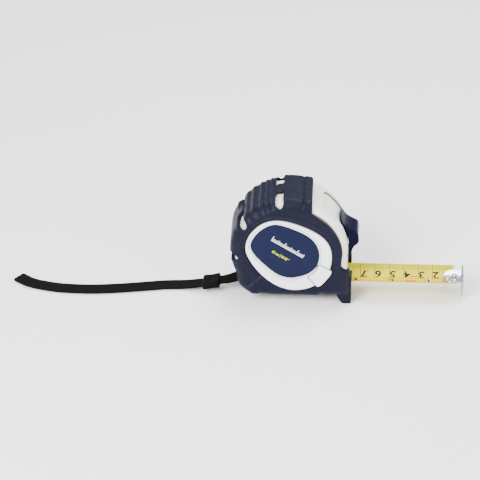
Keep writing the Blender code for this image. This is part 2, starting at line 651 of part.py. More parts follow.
# ---------------------------------------------------------------- spool and spring
def spool():
    flange_in = SPOOL_HALF + 0.4
    flange_out = flange_in + FLANGE_THICK
    drum = rod("spool_drum", DRUM_R, -flange_in - 0.2, SPOOL_HALF, ARC_X, ARC_Z, look=INNER, segments=32)
    join(drum, rod("drum_flange", COIL_R + GAP, -flange_out, -flange_in, ARC_X, ARC_Z, segments=40))
    cut(drum, rod("drum_bore", DRUM_R - DRUM_WALL, -SPOOL_HALF + 0.4, flange_out, ARC_X, ARC_Z, segments=32),
        rod("drum_post_hole", POST_R + GAP, -flange_out - 1.5, flange_out, ARC_X, ARC_Z))
    cover = rod("spool_cover", COIL_R + GAP, flange_in, flange_out, ARC_X, ARC_Z, look=INNER, segments=40)
    cut(cover, rod("cover_hole", POST_R + GAP, flange_in - 1.0, flange_out + 1.5, ARC_X, ARC_Z))
    coil = rod("blade_coil", COIL_R, -SPOOL_HALF, SPOOL_HALF, ARC_X, ARC_Z, look=BLADE, segments=40)
    cut(coil, rod("coil_bore", DRUM_R + GAP, -flange_out, flange_out, ARC_X, ARC_Z, segments=32))
    post = rod("arbor_post", POST_R, -POST_HALF, POST_HALF, ARC_X, ARC_Z, look=STEEL)
    slot_end = SPRING_HALF + 0.4
    cut(post, box("post_slot", (ARC_X - POST_SLOT, ARC_X + POST_SLOT), (-slot_end, slot_end),
                  (ARC_Z, ARC_Z + 2 * POST_R)))
    inner_r, outer_r = POST_R + 0.9, DRUM_R - 2.0
    count = SPRING_TURNS * 14
    path = []
    for i in range(count + 1):
        angle = math.tau * SPRING_TURNS * i / count
        radius = inner_r + (outer_r - inner_r) * i / count
        path.append((ARC_X + radius * math.cos(angle), ARC_Z + radius * math.sin(angle)))
    prism("power_spring", strip(path, SPRING_THICK), -SPRING_HALF, SPRING_HALF, SPRING)


# ---------------------------------------------------------------- thumb lock
def thumb_lock():
    """A pad that slides along the round front, and the lever that carries its brake inside."""
    outline = [polar(*point) for point in LOCK_TOP] + [polar(*point) for point in LOCK_UNDER]
    pad = prism("thumb_lock", outline, -LOCK_HALF, LOCK_HALF, LOCK)
    bevel(pad, 0.25, segments=1, angle=60)
    outer = [polar(angle, LEVER_R) for angle in (-28, -16, -5, 6)]
    inner = [polar(angle, LEVER_INNER_R) for angle in (12, 0, -12, -24)]
    rear, front = LEVER_X
    lever = outer + [polar(6, LEVER_R + 3.0), polar(12, LEVER_R + 3.0)] + inner
    lever += [Vector((rear, 22.5)), Vector((rear, LEVER_FOOT)), Vector((front, LEVER_FOOT)), Vector((front, 20.5))]
    prism("brake_lever", lever, -LEVER_HALF, LEVER_HALF, INNER)
    brake = box("brake_pad", PAD_X, (-PAD_HALF, PAD_HALF), PAD_Z, RUBBER)
    bevel(brake, 0.5)


# ---------------------------------------------------------------- wrist strap
def across(tangent):
    """The webbing's width and thickness directions where it runs along tangent."""
    wide = tangent.cross(Vector((0.0, 0.0, 1.0))).normalized()
    return wide, wide.cross(tangent).normalized()


def wrist_strap():
    line = smooth_line(STRAP_ROUTE, 3)
    rings = []
    for index, here in enumerate(line):
        tangent = (line[min(index + 1, len(line) - 1)] - line[max(index - 1, 0)]).normalized()
        wide, thick = across(tangent)
        wide, thick = wide * STRAP_WIDTH / 2, thick * STRAP_THICK / 2
        rings.append([here - wide - thick, here + wide - thick, here + wide + thick, here - wide + thick])
    loft("wrist_strap", rings, NYLON)
    start, end = Vector(STRAP_ROUTE[2]), Vector(STRAP_ROUTE[3])
    tangent = (end - start).normalized()
    wide, thick = across(tangent)
    frame = Matrix.Translation(Vector(SLIDER_AT) * MM) @ Matrix((tangent, -wide, thick)).transposed().to_4x4()
    slider = box("strap_slider", *((-half, half) for half in SLIDER_HALF), look=INNER)
    slot_half = (1.5 * SLIDER_HALF[0], STRAP_WIDTH / 2 + SLIDER_FIT, STRAP_THICK / 2 + SLIDER_FIT)
    slot = box("slider_slot", *((-half, half) for half in slot_half))
    slider.data.transform(frame)
    slot.data.transform(frame)
    bevel(slider, SLIDER_ROUND)
    cut(slider, slot)


for which, word in ((NEAR, "near"), (FAR, "far")):
    case_shell(which, word)
    jacket(which, word)
    side_ring(which, word)
    side_label(which, word)
side_button()
strap_pin()
case_screws()
belt_clip()
blade_and_hook()
spool()
thumb_lock()
wrist_strap()
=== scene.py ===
"""Looks of the tape measure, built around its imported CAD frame.

Outlines and sections are in millimetres, and the mesh helpers turn them into metres. +X runs along
the blade to the hook, the side with the push button faces -Y, and +Z is up.
"""
import math

import bmesh
import bpy
import numpy as np
from mathutils import Matrix, Vector


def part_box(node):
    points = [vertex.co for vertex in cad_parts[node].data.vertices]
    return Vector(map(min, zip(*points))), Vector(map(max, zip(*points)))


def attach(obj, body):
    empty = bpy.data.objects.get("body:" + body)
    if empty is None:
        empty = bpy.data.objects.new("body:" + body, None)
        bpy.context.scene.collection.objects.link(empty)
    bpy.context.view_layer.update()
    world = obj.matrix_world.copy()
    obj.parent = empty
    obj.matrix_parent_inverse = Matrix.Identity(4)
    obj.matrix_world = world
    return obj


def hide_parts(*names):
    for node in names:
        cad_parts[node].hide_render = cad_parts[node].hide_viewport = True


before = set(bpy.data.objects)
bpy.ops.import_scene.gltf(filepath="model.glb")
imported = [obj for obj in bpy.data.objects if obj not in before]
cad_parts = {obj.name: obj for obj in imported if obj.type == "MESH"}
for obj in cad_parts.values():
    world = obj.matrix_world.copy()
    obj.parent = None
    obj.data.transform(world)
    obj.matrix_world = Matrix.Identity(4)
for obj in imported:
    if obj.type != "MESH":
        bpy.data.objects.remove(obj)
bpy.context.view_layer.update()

MM = 0.001
NEAR, FAR = -1, 1                       # the two sides of the case, as a sign on Y


def node_size(node):
    """A CAD node's lowest and highest corner, in millimetres."""
    low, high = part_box(node)
    return np.array(low) / MM, np.array(high) / MM


# ---------------------------------------------------------------- driving sizes, as in the CAD
ARC_X, ARC_Z = -39.0, 41.0              # middle of the round top
JACKET_R = 41.5
JACKET_SIDE = -node_size("jacket_near")[0][1]
JACKET_FILLET = 7.5
JACKET_WALL = 2.4
SHELL_SIDE = JACKET_SIDE - JACKET_WALL
SHELL_WALL = 2.5
BASE_Z = 6.0
BASE_SKIN = 1.0
BASE_FLOOR = 1.3
FRONT_X = 3.0
FRONT_SKIN = 2.2
FRONT_WALL = 2.0
REAR_X, REAR_Z = -75.6, 14.0
CHAMFER_X = -67.5
ARC_START, ARC_END = -8.0, 205.0
PARTING_Y = 1.0
SEAM = 0.06                             # half the fine line between the two halves
FOOT_HALF = 18.0
MOUTH_HALF, MOUTH_TOP = 13.2, 17.0
MOUTH_FROM = BASE_Z + BASE_SKIN + BASE_FLOOR
GATE = ((-84.0, -67.0), (-6.2, 6.2), (7.6, 15.6))   # where the strap goes in
GAP = 0.3
RECESS_HALF, RECESS_END, RECESS_ROUND = 10.9, 56.0, 3.0   # the lock's slide: across, degrees, corners
RECESS_DEPTH, WINDOW_DEPTH = 1.3, 1.1
BOSS_R, SCREW_HOLE_R, HEAD_HOLE_R = 2.6, 1.4, 2.7
SOCKET_R, POST_HOLE_R = 5.0, 3.3
CUP_R, WELL_R = 5.2, 3.9                # around the button's spring
CLIP_HOLE_R = 1.8

RING_OUTER = [(-47.0, 67.6), (-33.2, 64.2), (-20.0, 57.4), (-12.6, 48.8), (-10.8, 37.0), (-14.1, 25.0),
              (-24.0, 15.7), (-37.2, 12.8), (-49.5, 16.8), (-60.0, 25.8), (-67.6, 37.4), (-69.7, 46.5),
              (-66.5, 56.5), (-58.0, 65.0)]
LABEL_EDGE = [(-49.0, 64.9), (-36.5, 61.1), (-25.5, 54.6), (-20.0, 45.0), (-20.7, 33.6), (-27.5, 26.0),
              (-38.5, 22.8), (-47.5, 25.2), (-55.6, 32.0), (-63.2, 40.4), (-66.0, 47.6), (-63.6, 54.8),
              (-57.5, 61.5)]
BUTTON_EDGE = [(-19.3, 33.4), (-15.0, 31.3), (-10.8, 28.4), (-14.6, 21.4), (-19.7, 16.4), (-23.4, 20.0),
               (-26.3, 24.1), (-23.6, 26.6), (-21.2, 29.6)]
RING_GAP = 0.7
BUTTON_GAP = 0.7
TRIM_MIDDLE = (-41.0, 41.5)             # a point well inside the ring and the label
RING_FACE, LABEL_FACE = 22.5, 21.9
BUTTON_FACE, BUTTON_BACK = 23.2, 20.9
BUTTON_X, BUTTON_Z = -18.6, 25.0
SCREW_PLACES = [(-16.6, 66.9), (-61.4, 66.9), (-66.4, 22.6)]
CLIP_SCREW = (-43.0, 53.0)
WINDOW_ANGLES = (101.7, 147.5, 186.0)
WEDGE_EDGE = [(-24.6, 72.0), (-20.0, 67.9), (-13.4, 62.9), (-8.1, 56.7), (-4.9, 50.0), (-3.6, 43.5),
              (-3.9, 37.5), (-4.6, 32.0)]
NOSE_TOP = 23.7
LOCK_HALF = node_size("thumb_lock")[1][1]
LOCK_TOP = [(32.7, 39.7), (24.5, 40.6), (19.0, 42.6), (15.0, 45.6), (12.0, 47.0), (4.5, 46.6),
            (0.5, 43.6), (-4.0, 42.2), (-10.5, 41.6)]
LOCK_UNDER = [(-11.5, 40.2), (-5.0, 39.7), (5.0, 39.6), (15.0, 39.6), (25.0, 39.5), (32.7, 39.2)]

BLADE_FLOOR = 10.4
BLADE_ARCH_R = 17.3
BLADE_HALF = 11.75
BLADE_THICK = 0.4
BLADE_TAIL, BLADE_TIP, BLADE_NOTCH, BLADE_TAB = -14.0, 75.0, 70.6, 77.0
BLADE_TAB_HALF = 5.2
HOOK_FACE, HOOK_THICK, HOOK_HALF = 79.2, 1.0, 10.0
HOOK_FOOT, HOOK_TOP = 2.3, 17.1
TONGUE_TIP, TONGUE_HALF = 66.0, 8.3
RIVET_PLACES = [(69.4, 0.0), (74.2, 2.7), (74.2, -2.7)]
CENTRE_RIVET_X = 57.4

STRAP_WIDTH, STRAP_THICK = 11.0, 2.0
STRAP_ROUTE = [(-72.0, 0.0, 11.6), (-80.0, -2.2, 9.2), (-88.0, -2.4, 7.4), (-96.0, -2.1, 5.6),
               (-104.0, -1.6, 3.8), (-110.0, -0.8, 2.4), (-116.0, -0.2, 1.5), (-127.0, -0.8, 1.3),
               (-138.0, -2.8, 1.3), (-150.0, -5.0, 1.3), (-161.0, -6.8, 1.3), (-178.0, -8.5, 1.3),
               (-196.0, -8.0, 1.3), (-208.0, -5.9, 1.3), (-220.0, -1.9, 1.3), (-229.6, 5.2, 1.3)]
SLIDER_AT = (-94.0, -2.21, 6.05)


# ---------------------------------------------------------------- curves and outlines
def smooth_loop(points, steps):
    """A closed curve through the points, with this many places between each pair."""
    count = len(points)
    curve = []
    for index in range(count):
        before, start, end, after = (np.array(points[(index + shift) % count], float) for shift in (-1, 0, 1, 2))
        for step in range(steps):
            t = step / steps
            curve.append(0.5 * (2 * start + (end - before) * t
                                + (2 * before - 5 * start + 4 * end - after) * t * t
                                + (3 * start - before - 3 * end + after) * t ** 3))
    return np.array(curve)


def smooth_line(points, steps):
    """The same, for a line that is open at both ends."""
    line = []
    for index in range(len(points) - 1):
        start, end = np.array(points[index], float), np.array(points[index + 1], float)
        before = np.array(points[index - 1], float) if index else 2 * start - end
        after = np.array(points[index + 2], float) if index + 2 < len(points) else 2 * end - start
        for step in range(steps):
            t = step / steps
            line.append(0.5 * (2 * start + (end - before) * t
                               + (2 * before - 5 * start + 4 * end - after) * t * t
                               + (3 * start - before - 3 * end + after) * t ** 3))
    line.append(np.array(points[-1], float))
    return np.array(line)


def grown(loop, distance):
    """A smooth closed outline, moved outwards by a distance."""
    ahead = np.roll(loop, -1, axis=0) - np.roll(loop, 1, axis=0)
    ahead /= np.linalg.norm(ahead, axis=1, keepdims=True)
    out = np.stack([ahead[:, 1], -ahead[:, 0]], axis=1)
    area = np.sum(loop[:, 0] * np.roll(loop[:, 1], -1) - np.roll(loop[:, 0], -1) * loop[:, 1])
    return loop + out * distance * np.sign(area)


def polar(angle, radius):
    """A point around the middle of the round top; angle in degrees, 0 towards the front."""
    turn = math.radians(angle)
    return np.array((ARC_X + radius * math.cos(turn), ARC_Z + radius * math.sin(turn)))


def crossing(point, along, other, other_along):
    """Where two straight lines meet."""
    share = np.linalg.solve(np.array([along, -other_along]).T, other - point)[0]
    return point + along * share


def rounded_corner(before, corner, after, radius, steps):
    """Points of a soft corner, with the same number of points whatever its size."""
    first, second = before - corner, after - corner
    reach = min(radius, 0.48 * np.linalg.norm(first), 0.48 * np.linalg.norm(second))
    start = corner + first / np.linalg.norm(first) * reach
    end = corner + second / np.linalg.norm(second) * reach
    shares = np.linspace(0, 1, steps)[:, None]
    return (1 - shares) ** 2 * start + 2 * shares * (1 - shares) * corner + shares ** 2 * end


def rounded_polygon(corners, radii, inset=0.0, steps=5):
    """A polygon (counter-clockwise) moved inwards, with soft corners and always as many points."""
    corners = [np.array(corner, float) for corner in corners]
    edges = []
    for start, end in zip(corners, corners[1:] + corners[:1]):
        along = (end - start) / np.linalg.norm(end - start)
        edges.append((start + np.array((-along[1], along[0])) * inset, along))
    moved = [crossing(*edges[index - 1], *edges[index]) for index in range(len(corners))]
    loop = []
    for index, corner in enumerate(moved):
        after = moved[(index + 1) % len(moved)]
        loop += list(rounded_corner(moved[index - 1], corner, after, max(radii[index] - inset, 0.08), steps))
    return np.array(loop)


def case_outline(wall=0.0, base=0.0, front=0.0, arc_steps=290, corner=6.0):
    """The case from the side, with its walls moved inwards, always with the same number of points."""
    arc_r = JACKET_R - wall
    rear_top, rear_foot = polar(ARC_END, JACKET_R), np.array((REAR_X, REAR_Z))
    chamfer = np.array((CHAMFER_X, BASE_Z))
    nose, front_top = np.array((FRONT_X, BASE_Z)), polar(ARC_START, JACKET_R)
    edges = []
    for start, end, drop in ((rear_top, rear_foot, wall), (rear_foot, chamfer, wall),
                             (chamfer, nose, base), (nose, front_top, front)):
        along = (end - start) / np.linalg.norm(end - start)
        edges.append((start + np.array((-along[1], along[0])) * drop, along))
    corners = [crossing(*edges[i], *edges[i + 1]) for i in range(3)]

    def on_arc(edge):
        """The angle at which an edge's line meets the arc."""
        start, along = edge
        rel = start - np.array((ARC_X, ARC_Z))
        half = rel @ along
        root = math.sqrt(max(half ** 2 - rel @ rel + arc_r ** 2, 0.0))
        place = min((start + along * (-half + sign * root) for sign in (-1, 1)),
                    key=lambda p: np.linalg.norm(p - start))
        return math.degrees(math.atan2(place[1] - ARC_Z, place[0] - ARC_X))
    rear_angle = on_arc(edges[0]) % 360
    nose_end = edges[3][0] + edges[3][1] * np.linalg.norm(front_top - nose)
    front_angle = on_arc((nose_end, edges[3][1]))
    angles = np.linspace(front_angle, rear_angle, arc_steps)
    arc = [polar(angle, arc_r) for angle in angles]
    places = [arc[-1]] + corners + [arc[0]]
    points = list(arc)
    fills = (22, 16, 110, 44)
    radii = (corner, corner, 2.0)
    last = arc[-1]
    for index in range(3):
        soft = rounded_corner(places[index], places[index + 1], places[index + 2], radii[index], 9)
        shares = np.linspace(0, 1, fills[index] + 1)[1:-1, None]
        points += list(last + (soft[0] - last) * shares) + list(soft)
        last = soft[-1]
    shares = np.linspace(0, 1, fills[3] + 1)[1:-1, None]
    points += list(last + (arc[0] - last) * shares)
    return np.array(points)


def matched(outline, loop, middle=TRIM_MIDDLE):
    """The loop's points that lie in the same directions as the outline's, seen from the middle."""
    def seen(points):
        return (np.arctan2(points[:, 1] - middle[1], points[:, 0] - middle[0]),
                np.hypot(points[:, 0] - middle[0], points[:, 1] - middle[1]))
    loop_angle, loop_far = seen(loop)
    order = np.argsort(loop_angle)
    angle, _ = seen(outline)
    far = np.interp(angle, loop_angle[order], loop_far[order], period=math.tau)
    return np.stack([middle[0] + far * np.cos(angle), middle[1] + far * np.sin(angle)], axis=1)


def at_y(outline, y):
    """An outline in the XZ plane as points in space."""
    outline = np.asarray(outline, float)
    return np.stack([outline[:, 0], np.full(len(outline), float(y)), outline[:, 1]], axis=1)


def smoothstep(value, low, high):
    t = np.clip((value - low) / (high - low), 0, 1)
    return t * t * (3 - 2 * t)


def distance_to(loop, places):
    """Signed distance from places to a closed outline, negative inside."""
    best = np.full(len(places), 1e9)
    inside = np.zeros(len(places), bool)
    for start, end in zip(loop, np.roll(loop, -1, axis=0)):
        along = end - start
        share = np.clip(((places - start) @ along) / max(along @ along, 1e-12), 0, 1)
        best = np.minimum(best, np.hypot(*(places - start - share[:, None] * along).T))
        if abs(end[1] - start[1]) > 1e-12:
            crosses = (start[1] > places[:, 1]) != (end[1] > places[:, 1])
            inside ^= crosses & (places[:, 0] < start[0] + (places[:, 1] - start[1]) * along[0] / along[1])
    return np.where(inside, -best, best)


def rolled(distance, radius):
    """How far a rounded edge has dropped at a distance from the edge."""
    t = np.clip(radius - distance, 0, radius)
    return radius - np.sqrt(np.maximum(radius ** 2 - t ** 2, 0))


# ---------------------------------------------------------------- meshes
def placed(name, data):
    """An object in the scene for this mesh, curve, light or camera."""
    made = bpy.data.objects.new(name, data)
    bpy.context.scene.collection.objects.link(made)
    return made


def mesh_object(name, verts, faces, look=None, crease=32.0):
    mesh = bpy.data.meshes.new(name)
    mesh.from_pydata((np.asarray(verts, float) * MM).tolist(), [], faces)
    bm = bmesh.new()
    bm.from_mesh(mesh)
    bmesh.ops.recalc_face_normals(bm, faces=bm.faces)
    bm.to_mesh(mesh)
    bm.free()
    return dressed(placed(name, mesh), look, crease)


def dressed(made, look, crease=32.0):
    if look is not None:
        made.data.materials.clear()
        made.data.materials.append(look)
    made.data.shade_smooth()
    made.data.set_sharp_from_angle(angle=math.radians(crease))
    return made


def lofted(name, rows, look=None, closed=False, crease=32.0):
    """A solid through loops of points; closed joins the last loop to the first instead of capping both."""
    points = np.array(rows, float)
    count, around = points.shape[:2]
    index = np.arange(count * around).reshape(count, around)
    if closed:
        index = np.vstack([index, index[:1]])
    turned = np.roll(index, -1, axis=1)
    faces = np.stack([index[:-1], turned[:-1], turned[1:], index[1:]], axis=-1).reshape(-1, 4).tolist()
    if not closed:
        faces += [index[0].tolist(), index[-1].tolist()]
    return mesh_object(name, points.reshape(-1, 3), faces, look, crease)


def prism(name, outline, low, high, look=None):
    return lofted(name, [at_y(outline, low), at_y(outline, high)], look)


def block(name, x, y, z, look=None):
    return prism(name, [(x[0], z[0]), (x[1], z[0]), (x[1], z[1]), (x[0], z[1])], y[0], y[1], look)


def turned(name, profile, place, axis="Y", segments=40, look=None, crease=32.0):
    """A turned solid: profile is (radius, height) from bottom to top, and it closes on its own axis."""
    rows = []
    for radius, height in profile:
        turns = np.linspace(0, math.tau, segments, endpoint=False)
        a, b = radius * np.cos(turns), radius * np.sin(turns)
        flat = np.full(segments, float(height))
        rows.append(np.stack([a, flat, b] if axis == "Y" else [a, b, flat], axis=1) + np.array(place))
    return lofted(name, rows, look, crease=crease)


def merged(name, pieces, look=None):
    """Separate meshes as one object."""
    bm = bmesh.new()
    for piece in pieces:
        bm.from_mesh(piece.data)
    mesh = bpy.data.meshes.new(name)
    bm.to_mesh(mesh)
    bm.free()
    for piece in pieces:
        bpy.data.objects.remove(piece)
    made = placed(name, mesh)
    return dressed(made, look) if look is not None else made


def combined(target, operation, other):
    """A Boolean between two meshes, applied; the other mesh goes away."""
    change = target.modifiers.new(operation, "BOOLEAN")
    change.operation = operation
    change.solver = "EXACT"
    change.object = other
    return applied(target, [other])


def applied(target, spare=()):
    """Turn an object's modifiers into its mesh."""
    look = list(target.data.materials)
    shaped = bpy.data.meshes.new_from_object(target.evaluated_get(bpy.context.evaluated_depsgraph_get()))
    target.modifiers.clear()
    target.data = shaped
    for other in spare:
        bpy.data.objects.remove(other)
    return dressed(target, look[0] if look else None)


def bevelled(target, width, segments=2, angle=35.0):
    change = target.modifiers.new("bevel", "BEVEL")
    change.width = width * MM
    change.segments = segments
    change.limit_method = "ANGLE"
    change.angle_limit = math.radians(angle)
    return applied(target)


def marked(piece, name, rule):
    """Store a value for each point of a mesh, worked out from the points' places in millimetres."""
    places = np.empty(len(piece.data.vertices) * 3)
    piece.data.vertices.foreach_get("co", places)
    values = rule(places.reshape(-1, 3) / MM)
    piece.data.attributes.new(name, "FLOAT", "POINT").data.foreach_set("value", values.astype(np.float32))


def fitted(piece, body, slot, *nodes):
    """Put a finished piece on its body, in place of CAD nodes."""
    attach(piece, body)
    if nodes:
        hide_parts(*nodes)
    return piece


# ---------------------------------------------------------------- materials
def srgb(red, green, blue):
    """A colour given as it looks on screen, 0 to 255, as linear light."""
    light = []
    for value in (red / 255, green / 255, blue / 255):
        light.append(value / 12.92 if value <= 0.04045 else ((value + 0.055) / 1.055) ** 2.4)
    return (*light, 1.0)


class Finish:
    """A material under construction: a Principled shader and the nodes that feed it."""

    def __init__(self, name, colour, roughness, **sockets):
        self.material = bpy.data.materials.new(name)
        self.material.use_nodes = True
        self.tree = self.material.node_tree
        self.shader = self.tree.nodes["Principled BSDF"]
        self.colour, self.height = colour, None
        self.shader.inputs["Base Color"].default_value = colour
        self.shader.inputs["Roughness"].default_value = roughness
        for socket, value in sockets.items():
            self.shader.inputs[socket.replace("_", " ")].default_value = value
        self.place = self.node("ShaderNodeTexCoord").outputs["Object"]

    def node(self, kind, **settings):
        made = self.tree.nodes.new(kind)
        for key, value in settings.items():
            setattr(made, key, value)
        return made

    def link(self, source, target):
        self.tree.links.new(source, target)

    def math(self, operation, first, second=None, third=None):
        made = self.node("ShaderNodeMath", operation=operation)
        for slot, value in zip(made.inputs, (first, second, third)):
            if isinstance(value, (int, float)):
                slot.default_value = value
            elif value is not None:
                self.link(value, slot)
        return made.outputs[0]

    def stretched(self, scale, turn=(0.0, 0.0, 0.0), source=None):
        made = self.node("ShaderNodeMapping")
        made.inputs["Scale"].default_value = scale
        made.inputs["Rotation"].default_value = turn
        self.link(source or self.place, made.inputs["Vector"])
        return made.outputs["Vector"]

    def axes(self):
        """The object's own X, Y and Z at each place, in metres."""
        made = self.node("ShaderNodeSeparateXYZ")
        self.link(self.place, made.inputs["Vector"])
        return made.outputs

    def noise(self, size_mm, detail=2.0, rough=0.5, place=None):
        """Noise whose blobs are about size_mm across."""
        made = self.node("ShaderNodeTexNoise")
        made.inputs["Scale"].default_value = 1.0 / (size_mm * MM)
        made.inputs["Detail"].default_value = detail
        made.inputs["Roughness"].default_value = rough
        self.link(place or self.place, made.inputs["Vector"])
        return made.outputs["Fac"]

    def cells(self, size_mm, feature="F1", place=None):
        made = self.node("ShaderNodeTexVoronoi", feature=feature)
        made.inputs["Scale"].default_value = 1.0 / (size_mm * MM)
        self.link(place or self.place, made.inputs["Vector"])
        return made.outputs["Distance"]

    def ranged(self, value, low, high, to_low=0.0, to_high=1.0):
        made = self.node("ShaderNodeMapRange")
        for slot, number in zip(made.inputs[1:5], (low, high, to_low, to_high)):
            slot.default_value = number
        self.link(value, made.inputs[0])
        return made.outputs[0]

    def tint(self, factor, colour):
        """Blend the colour so far towards another one."""
        made = self.node("ShaderNodeMix", data_type="RGBA")
        if isinstance(self.colour, tuple):
            made.inputs[6].default_value = self.colour
        else:
            self.link(self.colour, made.inputs[6])
        made.inputs[7].default_value = colour
        self.link(factor, made.inputs[0])
        self.colour = made.outputs[2]
        self.link(self.colour, self.shader.inputs["Base Color"])

    def patches(self, grain, low, high, most, colour):
        """Blend in another colour where noise of this grain is high."""
        self.tint(self.ranged(self.noise(*grain), low, high, 0.0, most), colour)

    def crevices(self, colour, amount=1.0):
        """Darken with painted shade where the mesh is marked as deep in a gap."""
        depth = self.node("ShaderNodeAttribute", attribute_name="painted_shade").outputs["Fac"]
        self.tint(self.math("MULTIPLY", depth, amount), colour)

    def roughness(self, value, low, high, rough_low, rough_high):
        self.link(self.ranged(value, low, high, rough_low, rough_high), self.shader.inputs["Roughness"])

    def worn_edges(self, colour, amount):
        """A lighter bloom where the surface is sharply convex, broken up by noise."""
        convex = self.node("ShaderNodeNewGeometry").outputs["Pointiness"]
        edge = self.ranged(convex, 0.53, 0.62)
        patchy = self.ranged(self.noise(1.6, 4.0), 0.4, 0.65, 0.25, 1.0)
        self.tint(self.math("MULTIPLY", self.math("MULTIPLY", edge, patchy), amount), colour)

    def bump(self, height, depth_mm, strength=1.0):
        """Lay another relief over the surface."""
        made = self.node("ShaderNodeBump")
        made.inputs["Strength"].default_value = strength
        made.inputs["Distance"].default_value = depth_mm * MM
        self.link(height, made.inputs["Height"])
        if self.height is not None:
            self.link(self.height, made.inputs["Normal"])
        self.height = made.outputs["Normal"]
        self.link(self.height, self.shader.inputs["Normal"])


def rubber_finish():
    """Matt navy rubber: fine spark-eroded grain, faint scuffs and paler edges."""
    made = Finish("navy_rubber", (0.0042, 0.0045, 0.0148, 1.0), 0.5, Specular_IOR_Level=0.11)
    made.patches((14.0, 3.0), 0.35, 0.7, 1.0, (0.0032, 0.0035, 0.0118, 1.0))
    made.patches((2.2, 5.0, 0.7), 0.56, 0.74, 0.3, (0.011, 0.0112, 0.027, 1.0))
    made.worn_edges((0.03, 0.033, 0.066, 1.0), 0.4)
    made.roughness(made.noise(3.0, 4.0), 0.3, 0.7, 0.4, 0.58)
    made.bump(made.noise(0.35, 3.0, 0.6), 0.05, 0.5)
    made.bump(made.cells(0.8, "SMOOTH_F1"), 0.04, 0.35)
    return made.material


def shell_finish():
    """Warm light grey ABS, satin, with a fine moulded grain and a little dust in it."""
    made = Finish("grey_white_abs", srgb(226, 228, 216), 0.38, Coat_Weight=0.08)
    made.patches((18.0, 2.0), 0.35, 0.7, 0.6, srgb(217, 219, 210))
    made.patches((0.9, 5.0, 0.7), 0.6, 0.78, 0.3, srgb(188, 187, 178))
    # painted shade: the marked recess foot and the side wall seen through the gaps are tinted dark
    made.crevices(srgb(44, 42, 46))
    made.roughness(made.noise(2.5, 4.0), 0.3, 0.7, 0.32, 0.48)
    made.bump(made.noise(0.4, 2.0), 0.02, 0.5)
    return made.material


def trim_finish():
    """Glossy white ABS with a slight orange peel."""
    made = Finish("white_gloss_abs", srgb(244, 244, 248), 0.2, Coat_Weight=0.3, Coat_Roughness=0.08)
    made.patches((11.0, 3.0), 0.4, 0.7, 0.6, srgb(236, 237, 245))
    # painted shade: the ring's marked outer wall and lip groove are tinted dark
    made.crevices(srgb(60, 61, 72))
    made.roughness(made.noise(1.8, 4.0), 0.35, 0.7, 0.16, 0.3)
    made.bump(made.noise(1.6, 2.0), 0.012, 0.5)
    return made.material


def button_finish():
    """The same white, with the coarse grain of a thumb surface."""
    made = Finish("white_grained_abs", srgb(243, 243, 247), 0.34)
    made.patches((1.1, 5.0, 0.7), 0.5, 0.72, 0.55, srgb(206, 208, 218))
    # painted shade: the key's marked sides are tinted dark
    made.crevices(srgb(40, 40, 46))
    made.roughness(made.noise(0.9, 4.0), 0.3, 0.7, 0.28, 0.5)
    made.bump(made.cells(0.62, "SMOOTH_F1"), 0.12, 0.6)
    made.bump(made.noise(0.35, 3.0), 0.03, 0.5)
    return made.material


def label_finish():
    """Satin blue film over a moulded plate, with a fine fleck."""
    made = Finish("blue_film", (0.0036, 0.0058, 0.028, 1.0), 0.4, Specular_IOR_Level=0.11)
    made.patches((22.0, 2.0), 0.35, 0.7, 0.7, (0.003, 0.005, 0.024, 1.0))
    made.patches((0.5, 4.0, 0.7), 0.58, 0.75, 0.25, (0.01, 0.016, 0.056, 1.0))
    made.roughness(made.noise(2.0, 4.0), 0.3, 0.7, 0.34, 0.5)
    made.bump(made.noise(0.3, 2.0), 0.012, 0.5)
    return made.material


def lock_finish():
    """Deep navy gloss plastic, with thumb smears in the gloss."""
    made = Finish("navy_gloss_abs", (0.0012, 0.0018, 0.0125, 1.0), 0.3, Specular_IOR_Level=0.045)
    made.patches((7.0, 3.0), 0.4, 0.7, 0.6, (0.002, 0.003, 0.017, 1.0))
    made.roughness(made.noise(3.2, 5.0, 0.65), 0.3, 0.7, 0.2, 0.42)
    made.bump(made.noise(0.9, 3.0), 0.02, 0.4)
    return made.material


def enamel_finish():
    """Yellow enamel on steel, with painted light and shade across the cupped blade (paler towards the far edge,
    darker and more orange towards the near one) and fine lengthwise rub marks.
    """
    made = Finish("yellow_enamel", (0.66, 0.54, 0.001, 1.0), 0.34, Specular_IOR_Level=0.05)
    across = made.axes()["Y"]
    # painted light and shade: paler on the far half of the cupped blade, darker orange on the near half
    made.tint(made.ranged(across, 0.001, 0.0085), (0.52, 0.47, 0.004, 1.0))
    made.tint(made.ranged(across, -0.001, -0.0075), (0.6, 0.38, 0.0001, 1.0))
    rubs = made.noise(1.4, 5.0, 0.7, made.stretched((0.06, 1.0, 1.0)))
    made.tint(made.ranged(rubs, 0.58, 0.78, 0.0, 0.3), (0.42, 0.33, 0.006, 1.0))
    made.roughness(rubs, 0.3, 0.75, 0.24, 0.46)
    made.bump(made.noise(0.5, 3.0, 0.6, made.stretched((0.15, 1.0, 1.0))), 0.01, 0.5)
    return made.material


def coil_finish():
    """The wound blade seen from its side: close rings of yellow edges, with painted shade for the dark gaps between
    the turns.
    """
    made = Finish("wound_blade", srgb(205, 190, 50), 0.42)
    place = made.axes()
    along = made.math("SUBTRACT", place["X"], ARC_X * MM)
    up = made.math("SUBTRACT", place["Z"], ARC_Z * MM)
    squares = made.math("ADD", made.math("MULTIPLY", along, along), made.math("MULTIPLY", up, up))
    radius = made.math("SQRT", squares)
    rings = made.math("SINE", made.math("MULTIPLY", radius, math.tau / (0.35 * MM)))
    # painted shade in the gaps between the wound turns
    made.tint(made.ranged(rings, 0.2, 1.0, 0.0, 0.85), srgb(60, 56, 40))
    made.patches((5.0, 3.0), 0.5, 0.75, 0.4, srgb(150, 142, 88))
    made.bump(rings, 0.08, 0.6)
    return made.material


